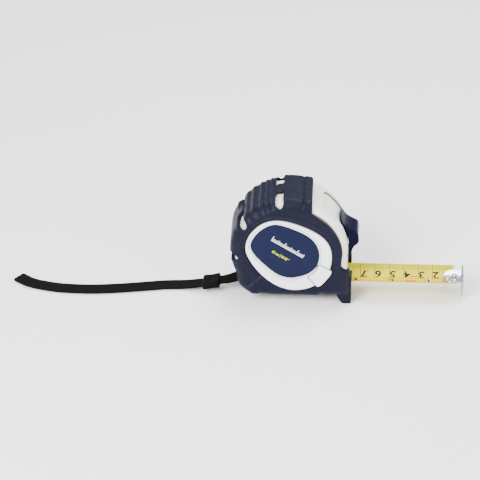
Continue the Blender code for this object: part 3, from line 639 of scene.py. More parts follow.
def print_finish(name, colour):
    """Printing ink: slightly uneven cover and sheen."""
    made = Finish(name, colour, 0.45, Specular_IOR_Level=0.1)
    paler = tuple(min(1.0, value * 1.35 + 0.012) for value in colour[:3]) + (1.0,)
    made.patches((0.5, 4.0, 0.7), 0.5, 0.75, 0.5, paler)
    made.roughness(made.noise(0.8, 3.0), 0.3, 0.7, 0.35, 0.6)
    return made.material


def plate_finish(name="nickel_plate", colour=(0.62, 0.61, 0.66, 1.0), turn=0.0, dull_past=None):
    """Bright nickel plate over pressed steel, with directional rub marks and a few dull spots."""
    made = Finish(name, colour, 0.26, Metallic=1.0)
    if dull_past is not None:
        made.tint(made.ranged(made.axes()["X"], dull_past - 0.0003, dull_past), srgb(158, 156, 162))
    brushed = made.noise(0.7, 5.0, 0.7, made.stretched((1.0, 0.05, 1.0), (0.0, 0.0, turn)))
    made.tint(made.ranged(brushed, 0.5, 0.75, 0.0, 0.35), srgb(148, 146, 156))
    made.patches((3.0, 5.0, 0.7), 0.62, 0.75, 0.35, srgb(120, 116, 118))
    made.roughness(brushed, 0.3, 0.75, 0.18, 0.42)
    made.bump(brushed, 0.01, 0.5)
    return made.material


def spring_finish():
    """Blued spring steel with a straw-coloured temper bloom."""
    made = Finish("blued_steel", (0.13, 0.15, 0.21, 1.0), 0.34, Metallic=1.0)
    made.patches((6.0, 3.0), 0.5, 0.72, 0.7, (0.22, 0.19, 0.16, 1.0))
    made.roughness(made.noise(0.8, 5.0, 0.7, made.stretched((0.1, 1.0, 0.1))), 0.3, 0.75, 0.24, 0.5)
    made.bump(made.noise(0.6, 3.0), 0.01, 0.4)
    return made.material


def inner_finish(name="black_moulding", colour=(20, 19, 19), grain_mm=0.5, gloss=0.14, paler=16):
    """Black moulded plastic with a satin grain."""
    made = Finish(name, srgb(*colour), 0.46, Specular_IOR_Level=gloss)
    patches = made.ranged(made.noise(3.5, 4.0, 0.6), 0.45, 0.75, 0.0, 0.5)
    made.tint(patches, srgb(*(value + paler for value in colour)))
    made.roughness(made.noise(1.6, 4.0), 0.3, 0.7, 0.36, 0.6)
    made.bump(made.noise(grain_mm, 3.0), 0.03, 0.5)
    return made.material


def webbing_finish():
    """Black nylon webbing, with painted light: the yarn crests are painted lighter where the two yarn directions
    catch the light differently, and a little lint.
    """
    made = Finish("black_nylon", srgb(6, 5, 5), 0.75, Specular_IOR_Level=0.035)
    yarn_highlight = made.node("ShaderNodeAttribute", attribute_name="yarn_highlight").outputs["Fac"]
    # painted highlight on the yarn crests
    made.tint(made.ranged(yarn_highlight, 0.25, 0.9, 0.0, 0.9), srgb(29, 27, 27))
    made.patches((0.35, 5.0, 0.7), 0.58, 0.75, 0.4, srgb(36, 34, 33))
    made.roughness(made.noise(0.6, 4.0), 0.3, 0.7, 0.6, 0.85)
    made.bump(made.noise(0.16, 3.0, 0.6), 0.05, 0.6)
    return made.material


RUBBER, SHELL, TRIM, GRAINED = rubber_finish(), shell_finish(), trim_finish(), button_finish()
LABEL, LOCK, ENAMEL, COIL = label_finish(), lock_finish(), enamel_finish(), coil_finish()
INK = print_finish("black_print", (0.012, 0.009, 0.009, 1.0))
FINE_INK = print_finish("fine_black_print", (0.06, 0.046, 0.002, 1.0))
RED_INK = print_finish("red_print", (0.52, 0.02, 0.002, 1.0))
WHITE_INK = print_finish("white_print", srgb(236, 238, 242))
LIME_INK = print_finish("lime_print", (0.3, 0.36, 0.012, 1.0))
STEEL, SPRING = plate_finish(), spring_finish()
HOOK = plate_finish("hook_plate", (0.56, 0.55, 0.61, 1.0), 0.0, HOOK_FACE * MM)
INNER, WEBBING = inner_finish(), webbing_finish()
SLIDER_LOOK = inner_finish("black_slider", (7, 7, 7), 0.8, 0.04, 9)


# ---------------------------------------------------------------- case
FILLET_ROWS = np.linspace(0, 90, 12)[1:]
RIBS = ((109.6, 1.3), (114.8, 1.3), (120.6, 1.5), (129.6, 2.4), (138.4, 2.6))
RIB_FROM, RIB_TO = 104.3, 143.6
RIB_DROP = 0.95                          # how far the valleys between the ribs lie below the rim
GROOVE_ANGLE = 77.6
WINDOW_HALF, WINDOW_START, WINDOW_END = 2.8, 5.4, 20.9


RIM_ROWS = 24                            # loops between the parting plane and the rounded edge


def spin_of(points):
    """The angle around the middle of the round top, in degrees from 0 to 360."""
    return np.degrees(np.arctan2(points[..., 2] - ARC_Z, points[..., 0] - ARC_X)) % 360


def bell(value, middle, width):
    return np.exp(-((value - middle) / width) ** 2)


def case_side_rows(skins, half_width, fillet, side, start):
    """Loops from the parting plane over the rim to the end of the rounded edge, and how far round each lies."""
    rows, reach = [], []
    rim = np.concatenate([np.linspace(side * start, 10.1, 13), np.linspace(10.3, 11.4, 7),
                          np.linspace(11.9, half_width - fillet, 4)])
    for y in side * rim:
        rows.append(at_y(case_outline(*skins), y))
        reach.append(abs(y))
    for turn in FILLET_ROWS:
        angle = math.radians(turn)
        drop = fillet * (1 - math.cos(angle))
        outline = case_outline(*(skin + drop for skin in skins))
        rows.append(at_y(outline, side * (half_width - fillet + fillet * math.sin(angle))))
        reach.append(half_width - fillet + fillet * angle)
    return rows, reach


def outward(rows):
    """Unit normals of a sheet of rows, pointing away from the middle of the case."""
    along = np.gradient(rows, axis=0)
    around = np.roll(rows, -1, axis=1) - np.roll(rows, 1, axis=1)
    normal = np.cross(along, around)
    normal /= np.maximum(np.linalg.norm(normal, axis=2, keepdims=True), 1e-9)
    away = rows - np.array((ARC_X, 0.0, ARC_Z - 8.0))
    flip = np.sign(np.sum(normal * away, axis=2, keepdims=True))
    return normal * np.where(flip == 0, 1, flip)


def window_outline(steps=6):
    """The slot in the rim, as (along the rim, distance from the middle), with soft corners."""
    inner, outer = 1.2, WINDOW_HALF
    loop = []
    for (cx, cy, radius, first) in ((WINDOW_HALF - outer, WINDOW_END - outer, outer, 0),
                                    (-WINDOW_HALF + outer, WINDOW_END - outer, outer, 90),
                                    (-WINDOW_HALF + inner, WINDOW_START + inner, inner, 180),
                                    (WINDOW_HALF - inner, WINDOW_START + inner, inner, 270)):
        for step in range(steps + 1):
            turn = math.radians(first + 90 * step / steps)
            loop.append((cx + radius * math.cos(turn), cy + radius * math.sin(turn)))
    return np.array(loop)


def rim_relief(points, reach):
    """Height added to the jacket's rim: grip ribs, the lip at its front edge and the groove beside it."""
    spin = spin_of(points)
    reach = np.array(reach)[:, None]
    on_rim = 1 - smoothstep(reach, 20.5, 25.0)
    bent = spin - 2.5 * smoothstep(reach, 14.0, 24.0)
    ribbed = smoothstep(bent, RIB_FROM - 0.6, RIB_FROM + 0.8)
    ribbed = ribbed * (1 - smoothstep(bent, RIB_TO - 0.8, RIB_TO + 0.6))
    crests = sum(bell(bent, middle, width) for middle, width in RIBS)
    height = -ribbed * (RIB_DROP - 0.75 * np.clip(crests, 0, 1)) * on_rim
    height += 0.5 * (1 - smoothstep(spin, GROOVE_ANGLE - 1.6, GROOVE_ANGLE + 0.2)) * smoothstep(spin, 60, 66) * on_rim
    height -= 0.45 * bell(spin, GROOVE_ANGLE + 0.6, 0.9) * on_rim
    bump = smoothstep(spin, 157, 161) * (1 - smoothstep(spin, 172, 177))
    return height + 0.3 * bump * (1 - smoothstep(reach, 16, 22))


def base_relief(points):
    """The pads under the base stand a little below it."""
    x, z = points[..., 0], points[..., 2]
    low = 1 - smoothstep(z, 8.0, 13.0)
    rear_pad = smoothstep(x, -67.2, -66.2) * (1 - smoothstep(x, -61.6, -60.4))
    front_step = smoothstep(x, -19.9, -18.9) * (1 - smoothstep(x, 2.0, 6.0))
    behind = smoothstep(x, -58.0, -50.0) * (1 - smoothstep(x, -19.9, -18.9))
    return low * (0.5 * rear_pad + 0.4 * behind - 0.45 * front_step)


def window_gap(points):
    """How far outside the nearest window each point lies."""
    flat = points.reshape(-1, 3)
    spin = spin_of(flat)
    nearest = np.full(len(flat), 9.0)
    for angle in WINDOW_ANGLES:
        along = np.radians(spin - angle) * JACKET_R
        beside = np.abs(along) < 8.0
        local = np.stack([along[beside], np.abs(flat[beside, 1])], axis=1)
        nearest[beside] = np.minimum(nearest[beside], distance_to(window_outline(), local))
    return nearest.reshape(points.shape[:-1])


def opening_relief(points):
    """Rounds the jacket's edges along the front wedge and round each window."""
    flat = points.reshape(-1, 3)
    wedge = distance_to(wedge_outline(), flat[:, [0, 2]]).reshape(points.shape[:2])
    gap = window_gap(points)
    return 0.22 * bell(wedge, 1.7, 0.9) - rolled(wedge, 0.9) - rolled(gap, 0.7) + 0.3 * bell(gap, 1.3, 0.7)


def wedge_outline():
    """The part of the front and top that the jacket leaves bare, seen from the side."""
    edge = smooth_line(WEDGE_EDGE, 4)
    corner = rounded_corner(edge[-1], np.array((-1.9, 28.9)), np.array((1.4, 26.2)), 2.5, 5)
    nose = rounded_corner(np.array((-1.9, 28.9)), np.array((FRONT_X - 0.1, NOSE_TOP + 1.6)),
                          np.array((FRONT_X + 0.4, NOSE_TOP - 4.0)), 3.0, 7)
    outer = np.array([(20.0, 16.0), (20.0, 95.0), (-24.6, 95.0)])
    return np.vstack([edge, corner[1:], nose, outer])


def window_cutter(angle, side):
    out, start = polar(angle, 1.0) - polar(angle, 0.0), polar(angle, 0.0)
    along = np.array((-out[1], out[0]))
    rows = []
    for radius in (JACKET_R - JACKET_FILLET - 0.6, JACKET_R + 4.0):
        foot = start + out * radius
        rows.append([(foot[0] + along[0] * p, side * q, foot[1] + along[1] * p) for p, q in window_outline()])
    return lofted("window", rows)


def button_gap(extra=0.0):
    """A cutter for the room round the push button."""
    return prism("button_gap", grown(smooth_loop(BUTTON_EDGE, 10), BUTTON_GAP + extra), -30.0, -16.0)


def clip_hole(low, high, segments):
    """A cutter for the hole of the belt clip's screw."""
    return turned("clip_hole", [(CLIP_HOLE_R, low), (CLIP_HOLE_R, high)], (CLIP_SCREW[0], 0.0, CLIP_SCREW[1]),
                  segments=segments)


def plinth(side):
    """The foot and the nose, one block whose corners are all softened."""
    corners = [(-9.0, 14.0), (-7.2, 6.6), (-3.7, 0.0), (2.4, 0.0), (FRONT_X, 0.7), (FRONT_X, NOSE_TOP),
               (-4.0, NOSE_TOP)]
    radii = (0.2, 1.6, 1.8, 1.4, 1.2, 3.4, 0.2)
    edge = 1.1
    rows = [at_y(rounded_polygon(corners, radii), side * 10.0)]
    for turn in np.radians(np.linspace(0, 90, 7)):
        outline = rounded_polygon(corners, radii, edge * (1 - math.cos(turn)))
        rows.append(at_y(outline, side * (FOOT_HALF - edge + edge * math.sin(turn))))
    return lofted("plinth", rows)


def jacket(side, word):
    """The rubber skin of one half: a thin shell over the rim and the side, open at the ring."""
    start = PARTING_Y + side * SEAM
    rows, reach = case_side_rows((0.0, 0.0, 0.0), JACKET_SIDE, JACKET_FILLET, side, start)
    edge = rows[-1][:, [0, 2]]
    middle = np.array(TRIM_MIDDLE)
    ring = matched(edge, smooth_loop(RING_OUTER, 14))
    far, edge_far = (np.linalg.norm(loop - middle, axis=1, keepdims=True) for loop in (ring, edge))
    out = (edge - middle) / edge_far
    lip = np.minimum(far + RING_GAP, edge_far - 0.3)
    cut = np.minimum(far - 1.2, lip - 0.5)
    for share in np.linspace(0, 1, 17)[1:]:
        rows.append(at_y(middle + out * (edge_far + (lip - edge_far) * share), side * JACKET_SIDE))
        reach.append(reach[-1] + 1.0)
    rows.append(at_y(middle + out * cut, side * JACKET_SIDE))
    reach.append(reach[-1] + 1.0)
    points = np.array(rows)
    opening = grown(smooth_loop(RING_OUTER, 10), RING_GAP)
    ring_gap = distance_to(opening, points[..., [0, 2]].reshape(-1, 2)).reshape(points.shape[:2])
    on_side = smoothstep(np.array(reach)[:, None], 23.0, 27.0)
    height = rim_relief(points, reach) + base_relief(points) + opening_relief(points)
    height += on_side * (0.42 * bell(ring_gap, 3.1, 1.3) - 0.25 * bell(ring_gap, 1.2, 0.8))
    height -= on_side * rolled(np.maximum(ring_gap, 0.0), 0.8)
    points = points + outward(points) * height[..., None]
    points[:, :, 1] = np.where(np.arange(len(points))[:, None] == 0, start, points[:, :, 1])
    back = SHELL_SIDE + GAP
    rows = list(points) + [at_y(middle + out * cut, side * back)]
    skins = (JACKET_WALL - GAP, BASE_SKIN - GAP, FRONT_SKIN - GAP)
    inner_rows, _ = case_side_rows(skins, back, JACKET_FILLET - JACKET_WALL + GAP, side, start)
    rows += inner_rows[:RIM_ROWS - 2:-1] + [inner_rows[0]]
    skin = lofted("jacket_" + word + "_skin", rows, RUBBER, closed=True)
    combined(skin, "UNION", plinth(side))
    combined(skin, "DIFFERENCE", prism("wedge", wedge_outline(), -40.0, 40.0))
    cutters = [window_cutter(angle, side) for angle in WINDOW_ANGLES]
    cutters += [block("mouth", (-4.0, 9.0), (-MOUTH_HALF, MOUTH_HALF), (MOUTH_FROM, 40.0)),
                block("gate", *GATE)]
    low, high = sorted((side * 16.0, side * 26.0))
    combined(skin, "DIFFERENCE", prism("ring_opening", opening, low, high))
    if side == NEAR:
        cutters.append(button_gap(0.07))
    else:
        cutters += [turned("head_hole", [(HEAD_HOLE_R, 16.0), (HEAD_HOLE_R, 26.0)], (x, 0.0, z), segments=28)
                    for x, z in SCREW_PLACES]
    combined(skin, "DIFFERENCE", merged("cutters", cutters))
    return fitted(skin, "case", "jacket", "jacket_" + word)


def recess_edge(points):
    """How far inside the lock's recess a point of the rim lies, along the surface."""
    spin = (spin_of(points) + 180.0) % 360 - 180.0
    past_side = np.maximum(np.abs(points[..., 1]) - (RECESS_HALF - RECESS_ROUND), 0)
    past_top = np.maximum(np.radians(spin - RECESS_END) * JACKET_R + RECESS_ROUND, 0)
    return np.where(spin > -40.0, RECESS_ROUND - np.hypot(past_side, past_top), -9.0)


def shell_crevices(points):
    """Painted shade: the recess's foot is painted dark, and so is the side wall that shows only in the gaps round the
    trim.
    """
    outer = np.hypot(points[:, 0] - ARC_X, points[:, 2] - ARC_Z) > JACKET_R - JACKET_WALL - 1.6
    foot = bell(recess_edge(points), 0.1, 0.4) * outer * (0.15 + 0.85 * smoothstep(points[:, 1], -11.0, 11.0))
    behind = smoothstep(np.abs(points[:, 1]), SHELL_SIDE - 0.12, SHELL_SIDE - 0.04)
    return np.maximum(0.95 * foot, behind)


def shell_relief(points, reach):
    """The thumb lock's slide and the windows are sunk in the rim, which has a soft crease by its edge."""
    inside = smoothstep(recess_edge(points), -0.2, 0.35)
    crease = bell(np.array(reach)[:, None], SHELL_SIDE - JACKET_FILLET + JACKET_WALL + 0.9, 0.8)
    sunk = 1 - smoothstep(window_gap(points), 0.3, 1.2)
    return -RECESS_DEPTH * inside - 0.14 * crease - WINDOW_DEPTH * sunk


def case_shell(side, word):
    """One hard half of the case, with its wall, screw bosses and the socket for the spool's post."""
    start = PARTING_Y + side * SEAM
    skins = (JACKET_WALL, BASE_SKIN, FRONT_SKIN)
    fillet = JACKET_FILLET - JACKET_WALL
    rows, reach = case_side_rows(skins, SHELL_SIDE, fillet, side, start)
    points = np.array(rows)
    points = points + outward(points) * shell_relief(points, reach)[..., None]
    points[0, :, 1] = start
    edge = points[-1][:, [0, 2]]
    middle = np.array(TRIM_MIDDLE)
    rows = [at_y(middle + (edge - middle) * share, side * SHELL_SIDE) for share in (0.05, 0.3, 0.6, 0.85)]
    rows += list(points[::-1])
    room = (JACKET_WALL + SHELL_WALL, BASE_SKIN + BASE_FLOOR, FRONT_SKIN + FRONT_WALL)
    room_side = SHELL_SIDE - SHELL_WALL
    inner_rows, _ = case_side_rows(room, room_side, 2.6, side, start)
    rows += [inner_rows[0]] + inner_rows[RIM_ROWS - 1:]
    rows += [at_y(middle + (inner_rows[-1][:, [0, 2]] - middle) * share, side * room_side) for share in (0.6, 0.05)]
    shell = lofted("case_shell_" + word + "_moulding", rows, SHELL)
    wall = side * (SHELL_SIDE - 1.0)
    posts = [turned("boss", [(BOSS_R, min(start, wall)), (BOSS_R, max(start, wall))], (x, 0.0, z), segments=24)
             for x, z in SCREW_PLACES]
    low, high = sorted((side * 14.4, wall))
    posts.append(turned("socket", [(SOCKET_R, low), (SOCKET_R, high)], (ARC_X, 0.0, ARC_Z)))
    if side == NEAR:
        posts.append(turned("button_cup", [(CUP_R, -SHELL_SIDE + 0.6), (CUP_R, -14.0)],
                            (BUTTON_X, 0.0, BUTTON_Z)))
    combined(shell, "UNION", merged("posts", posts))
    slot = [polar(angle, 34.5) for angle in np.linspace(4.5, 26.5, 9)]
    slot += [polar(angle, 43.0) for angle in np.linspace(26.5, 4.5, 9)]
    low, high = sorted((side * 13.0, side * 16.9))
    holes = [block("mouth", (-4.0, 6.0), (-MOUTH_HALF, MOUTH_HALF), (MOUTH_FROM, MOUTH_TOP)),
             prism("lock_slot", slot, -3.0, 3.0),
             block("gate", *GATE),
             turned("post_hole", [(POST_HOLE_R, low), (POST_HOLE_R, high)], (ARC_X, 0.0, ARC_Z))]
    low, high = (-12.4, 3.0) if side == NEAR else (-1.0, 24.0)
    holes += [turned("screw_hole", [(SCREW_HOLE_R, low), (SCREW_HOLE_R, high)], (x, 0.0, z), segments=20)
              for x, z in SCREW_PLACES]
    if side == NEAR:
        holes.append(turned("button_well", [(WELL_R, -SHELL_SIDE - 1), (WELL_R, -15.2)],
                            (BUTTON_X, 0.0, BUTTON_Z)))
    else:
        holes.append(clip_hole(14.0, 22.0, 20))
    combined(shell, "DIFFERENCE", merged("holes", holes))
    # painted shade for the recess foot and the gaps round the trim
    marked(shell, "painted_shade", shell_crevices)
    return fitted(shell, "case", "shell", "case_shell_" + word)


# ---------------------------------------------------------------- side trim
def ring_crevices(points):
    """Painted shade: the ring's outer wall and the groove beside its inner lip are painted dark, as they lie in
    shade.
    """
    deep = np.abs(points[:, 1])
    by_label = 1 - smoothstep(distance_to(smooth_loop(LABEL_EDGE, 8), points[:, [0, 2]]), 1.9, 2.3)
    return np.maximum(1 - smoothstep(deep, RING_FACE - 1.5, RING_FACE - 0.9),
                      0.8 * by_label * bell(deep, RING_FACE - 0.2, 0.06))


def side_ring(side, word):
    """The white ring: a rolled outer edge, a broad face and a stepped lip around the label."""
    outer = smooth_loop(RING_OUTER, 16)
    inner = matched(outer, grown(smooth_loop(LABEL_EDGE, 14), GAP))
    width = np.linalg.norm(inner - outer, axis=1, keepdims=True)
    back, face = SHELL_SIDE + GAP, RING_FACE
    roll = 1.3
    profile = [(0.0, 0.0, back), (0.0, 0.0, face - roll)]
    profile += [(roll * (1 - math.cos(turn)), 0.0, face - roll + roll * math.sin(turn))
                for turn in np.radians((15, 30, 45, 60, 75, 90))]
    profile += [(roll, share, face - 0.12 * math.sin(share * math.pi)) for share in np.linspace(0.14, 0.86, 6)]
    profile += [(-lip, 1.0, face - drop) for lip, drop in ((1.55, 0.0), (1.35, 0.2), (1.15, 0.2), (0.95, 0.02),
                                                           (0.45, 0.02), (0.15, 0.15), (0.0, 0.4))]
    profile.append((0.0, 1.0, back))
    rows = []
    for step, share, height in profile:
        first = np.minimum(roll, 0.36 * width) * step / roll if share < 1 else 0.0
        last = np.minimum(1.55, 0.5 * width) * (step / 1.55 if share == 1 else -1.0)
        place = first + (width + last - first) * share if share else first
        rows.append(at_y(outer + (inner - outer) / width * place, side * height))
    ring = lofted("side_ring_" + word + "_trim", rows, TRIM, closed=True, crease=38)
    if side == NEAR:
        combined(ring, "DIFFERENCE", button_gap())
    # painted shade on the ring's outer wall and lip groove
    marked(ring, "painted_shade", ring_crevices)
    return fitted(ring, "case", "trim", "side_ring_" + word)


def side_label(side, word):
    """The blue plate inside the ring, with a rolled edge."""
    outer = smooth_loop(LABEL_EDGE, 14)
    back, face = SHELL_SIDE + GAP, LABEL_FACE
    rows = [at_y(outer, side * back), at_y(outer, side * (face - 0.5))]
    rows += [at_y(grown(outer, -0.5 * (1 - math.cos(turn))), side * (face - 0.5 + 0.5 * math.sin(turn)))
             for turn in np.radians((25, 50, 70, 90))]
    label = lofted("label_" + word + "_plate", rows, LABEL)
    if side == NEAR:
        combined(label, "DIFFERENCE", button_gap())
    else:
        combined(label, "DIFFERENCE", clip_hole(16.0, 24.0, 24))
    return fitted(label, "case", "label", "label_" + word)


def printed_bars(name, bars, side, tilt, middle, look):
    """Flat printed bars on a label: each is (along, up, length, height) before the tilt."""
    turn = math.radians(tilt)
    along, up = np.array((math.cos(turn), math.sin(turn))), np.array((-math.sin(turn), math.cos(turn)))
    pieces = []
    for x, z, length, height in bars:
        corners = [(x, z), (x + length, z), (x + length, z + height), (x, z + height)]
        outline = [np.array(middle) + along * a * -side + up * b for a, b in corners]
        low, high = sorted((side * (LABEL_FACE - 0.05), side * (LABEL_FACE + 0.03)))
        pieces.append(prism("bar", outline, low, high))
    return fitted(merged(name, pieces, look), "case", "label")


def label_print(side, word):
    """A generic graphic: a short rule with graduations, and a broken line below it."""
    reach = {0: 3.0, 5: 2.1}
    white = [(i - 12.7, 0.0, 0.42, reach.get(i % 10, 1.35)) for i in range(26)] + [(-12.7, -0.75, 25.42, 0.5)]
    printed_bars("label_rule_" + word, white, side, -32.0, (-41.2, 46.4), WHITE_INK)
    lime = [(-7.4, 0.0, 1.9, 1.9), (-4.9, 0.0, 3.1, 1.3), (-1.2, -0.4, 0.5, 2.7), (0.0, 0.0, 2.0, 1.9),
            (2.6, 0.0, 2.0, 1.9), (5.4, 1.2, 0.5, 0.9)]
    printed_bars("label_dashes_" + word, lime, side, -32.0, (-45.6, 39.0), LIME_INK)


def side_button():
    """A proud, slightly dished key with a rolled edge and a coarse grain."""
    outer = smooth_loop(BUTTON_EDGE, 10)
    middle = outer.mean(axis=0)
    rows = [at_y(outer, -BUTTON_BACK), at_y(outer, -(BUTTON_FACE - 0.9))]
    rows += [at_y(grown(outer, -0.9 * (1 - math.cos(turn))), -(BUTTON_FACE - 0.9 + 0.9 * math.sin(turn)))
             for turn in np.radians((18, 36, 54, 72, 90))]
    rim = grown(outer, -0.9)
    rows += [at_y(middle + (rim - middle) * share, -(BUTTON_FACE - dish))
             for share, dish in ((0.88, 0.0), (0.8, 0.12), (0.55, 0.24), (0.25, 0.3), (0.04, 0.3))]
    button = lofted("side_button_key", rows, GRAINED, crease=50)
    stem = turned("stem", [(1.6, -BUTTON_BACK - 0.5), (1.6, -17.0)], (BUTTON_X, 0.0, BUTTON_Z))
    combined(button, "UNION", stem)
    # painted shade: the key's sides below its rolled face are tinted dark, as in the gap round it
    marked(button, "painted_shade",
           lambda points: 1 - smoothstep(np.abs(points[:, 1]), BUTTON_FACE - 1.1, BUTTON_FACE - 0.6))
    return fitted(button, "button", "trim", "side_button")


def button_spring():
    """A coil of round wire, finer than the CAD's."""
    turns, radius, wire, high, low = 3.0, 2.6, 0.3, -BUTTON_BACK + 0.7, -17.4
    curve = bpy.data.curves.new("button_spring_wire", "CURVE")
    curve.dimensions = "3D"
    curve.bevel_depth, curve.bevel_resolution, curve.use_fill_caps = wire * MM, 4, True
    count = round(turns * 32)
    spline = curve.splines.new("POLY")
    spline.points.add(count)
    for index, slot in enumerate(spline.points):
        angle = math.tau * turns * index / count
        slot.co = ((BUTTON_X + radius * math.cos(angle)) * MM, (high + (low - high) * index / count) * MM,
                   (BUTTON_Z + radius * math.sin(angle)) * MM, 1.0)
    curve.materials.append(SPRING)
    return fitted(placed("button_spring_wire", curve), "button", "spring", "button_spring")


# ---------------------------------------------------------------- thumb lock
def thumb_lock():
    """A pad over the round front: a thin tail up into the recess, a proud thumb block and a thin tip."""
    upper, lower = smooth_line(LOCK_TOP, 9), smooth_line(LOCK_UNDER, 9)[::-1]
    lower_r = np.interp(-upper[:, 0], -lower[:, 0], lower[:, 1])
    edge_in = [0.0, 0.04, 0.12, 0.26, 0.45, 0.7, 1.0, 1.4, 2.2]
    laterals = [-LOCK_HALF + step for step in edge_in] + list(np.linspace(-LOCK_HALF + 3.2, LOCK_HALF - 3.2, 15))
    laterals += [LOCK_HALF - step for step in reversed(edge_in)]
    rows = []
    for y in laterals:
        spread = upper[:, 0].copy()
        end = 32.7 - 3.9 * (y / LOCK_HALF) ** 2
        spread = np.where(spread > 20, 20 + (spread - 20) * (end - 20) / 12.7, spread)
        thick = upper[:, 1] - lower_r
        edge = np.minimum(1.3, 0.8 * thick)
        top = upper[:, 1] - rolled(LOCK_HALF - abs(y), np.maximum(edge, 0.05))
        top -= 0.55 * bell(upper[:, 0], 8.0, 4.5) * (1 - (y / LOCK_HALF) ** 2)
        outline = [polar(*place) for place in zip(spread, top)]
        under_spread = np.where(lower[:, 0] > 20, 20 + (lower[:, 0] - 20) * (end - 20) / 12.7, lower[:, 0])
        outline += [polar(*place) for place in zip(under_spread[::-1], lower[::-1, 1])]
        rows.append(at_y(outline, y))
    return fitted(lofted("thumb_lock_pad", rows, LOCK, crease=42), "lock", "lock", "thumb_lock")


# ---------------------------------------------------------------- blade and hook
def rise(y):
    """How far the arched blade has risen at this distance from its middle."""
    return BLADE_ARCH_R - np.sqrt(BLADE_ARCH_R ** 2 - np.asarray(y, float) ** 2)


def sheet_solid(name, top, bottom, look=None, crease=40.0):
    """A thin closed solid between two matching grids of points."""
    top, bottom = np.asarray(top, float), np.asarray(bottom, float)
    rows, columns = top.shape[:2]
    index = np.arange(rows * columns).reshape(rows, columns)
    quads = np.stack([index[:-1, :-1], index[1:, :-1], index[1:, 1:], index[:-1, 1:]], axis=-1).reshape(-1, 4)
    below = quads[:, ::-1] + rows * columns
    border = np.concatenate([index[0, :], index[1:, -1], index[-1, -2::-1], index[-2:0:-1, 0]])
    turned_border = np.roll(border, -1)
    sides = np.stack([border, turned_border, turned_border + rows * columns, border + rows * columns], axis=-1)
    faces = np.concatenate([quads, below, sides]).tolist()
    return mesh_object(name, np.vstack([top.reshape(-1, 3), bottom.reshape(-1, 3)]), faces, look, crease)


def arched_sheet(name, across, starts, ends, lift, thick, look, steps=60):
    """A sheet that follows the blade's section: starts and ends give its two ends for each place across."""
    across, starts, ends = (np.asarray(values, float) for values in (across, starts, ends))
    shares = np.linspace(0, 1, steps + 1)[:, None]
    x = starts + (ends - starts) * shares
    y = np.broadcast_to(across, x.shape)
    slope = np.arcsin(y / BLADE_ARCH_R)
    layers = []
    for height in (lift + thick, lift):
        radius = BLADE_ARCH_R - height
        layers.append(np.stack([x, radius * np.sin(slope), BLADE_FLOOR + BLADE_ARCH_R - radius * np.cos(slope)],
                               axis=-1))
    return sheet_solid(name, layers[0], layers[1], look)


def blade_end(y):
    """The blade is cut back in a slant on both sides of the hook's tongue."""
    share = np.clip((np.abs(y) - BLADE_TAB_HALF) / (BLADE_HALF - BLADE_TAB_HALF), 0, 1)
    slant = BLADE_NOTCH + (BLADE_TIP - BLADE_NOTCH) * share
    return np.where(np.abs(y) < BLADE_TAB_HALF, BLADE_TAB, slant)


PRINT_LIFT, PRINT_THICK = 0.005, 0.03


def blade_marks(name, marks, look):
    """Printed lines on the blade's upper face; a mark is (x, width, y from, y to)."""
    pieces = []
    for x, width, low, high in marks:
        steps = max(1, round((high - low) / 0.8))
        places = np.linspace(low, high, steps + 1)
        ends = np.full(len(places), width / 2)
        pieces.append(arched_sheet("mark", places, x - ends, x + ends, BLADE_THICK + PRINT_LIFT, PRINT_THICK,
                                   None, 1))
    return fitted(merged(name, pieces, look), "blade_strip", "blade")


def blade_number(text, x, y_foot, height, heading):
    """A number printed on the arched blade; heading 180 reads from the far side."""
    curve = bpy.data.curves.new("number", "FONT")
    curve.body, curve.align_x, curve.size = text, "CENTER", height / 0.7
    curve.offset = 0.035 * height
    holder = placed("number", curve)
    mesh = bpy.data.meshes.new_from_object(holder.evaluated_get(bpy.context.evaluated_depsgraph_get()))
    bpy.data.objects.remove(holder)
    bm = bmesh.new()
    bm.from_mesh(mesh)
    bmesh.ops.rotate(bm, verts=bm.verts, matrix=Matrix.Rotation(math.radians(heading), 3, "Z"))
    bmesh.ops.translate(bm, verts=bm.verts, vec=(x, y_foot, 0.0))
    for y in np.arange(-11.0, 11.5, 0.7):
        bmesh.ops.bisect_plane(bm, geom=bm.verts[:] + bm.edges[:] + bm.faces[:], plane_co=(0, y, 0),
                               plane_no=(0, 1, 0))
    bmesh.ops.remove_doubles(bm, verts=bm.verts, dist=0.001)
    top = bmesh.ops.extrude_face_region(bm, geom=bm.faces[:])
    raised = {item for item in top["geom"] if isinstance(item, bmesh.types.BMVert)}
    for vert in bm.verts:
        slope = math.asin(max(-0.99, min(0.99, vert.co.y / BLADE_ARCH_R)))
        radius = BLADE_ARCH_R - BLADE_THICK - PRINT_LIFT - (PRINT_THICK if vert in raised else 0.0)
        vert.co = (vert.co.x, radius * math.sin(slope), BLADE_FLOOR + BLADE_ARCH_R - radius * math.cos(slope))
    bmesh.ops.scale(bm, verts=bm.verts, vec=(MM, MM, MM))
    bmesh.ops.recalc_face_normals(bm, faces=bm.faces)
    bm.verts.index_update()
    points = [vert.co[:] for vert in bm.verts]
    loops = [[vert.index for vert in face.verts] for face in bm.faces]
    bm.free()
    # extruding leaves the faces in a new order each run, so they are put in a fixed one
    starts = [loop.index(min(loop)) for loop in loops]
    loops = sorted(loop[start:] + loop[:start] for loop, start in zip(loops, starts))
    mesh = bpy.data.meshes.new("number")
    mesh.from_pydata(points, [], loops)
    return placed("number", mesh)


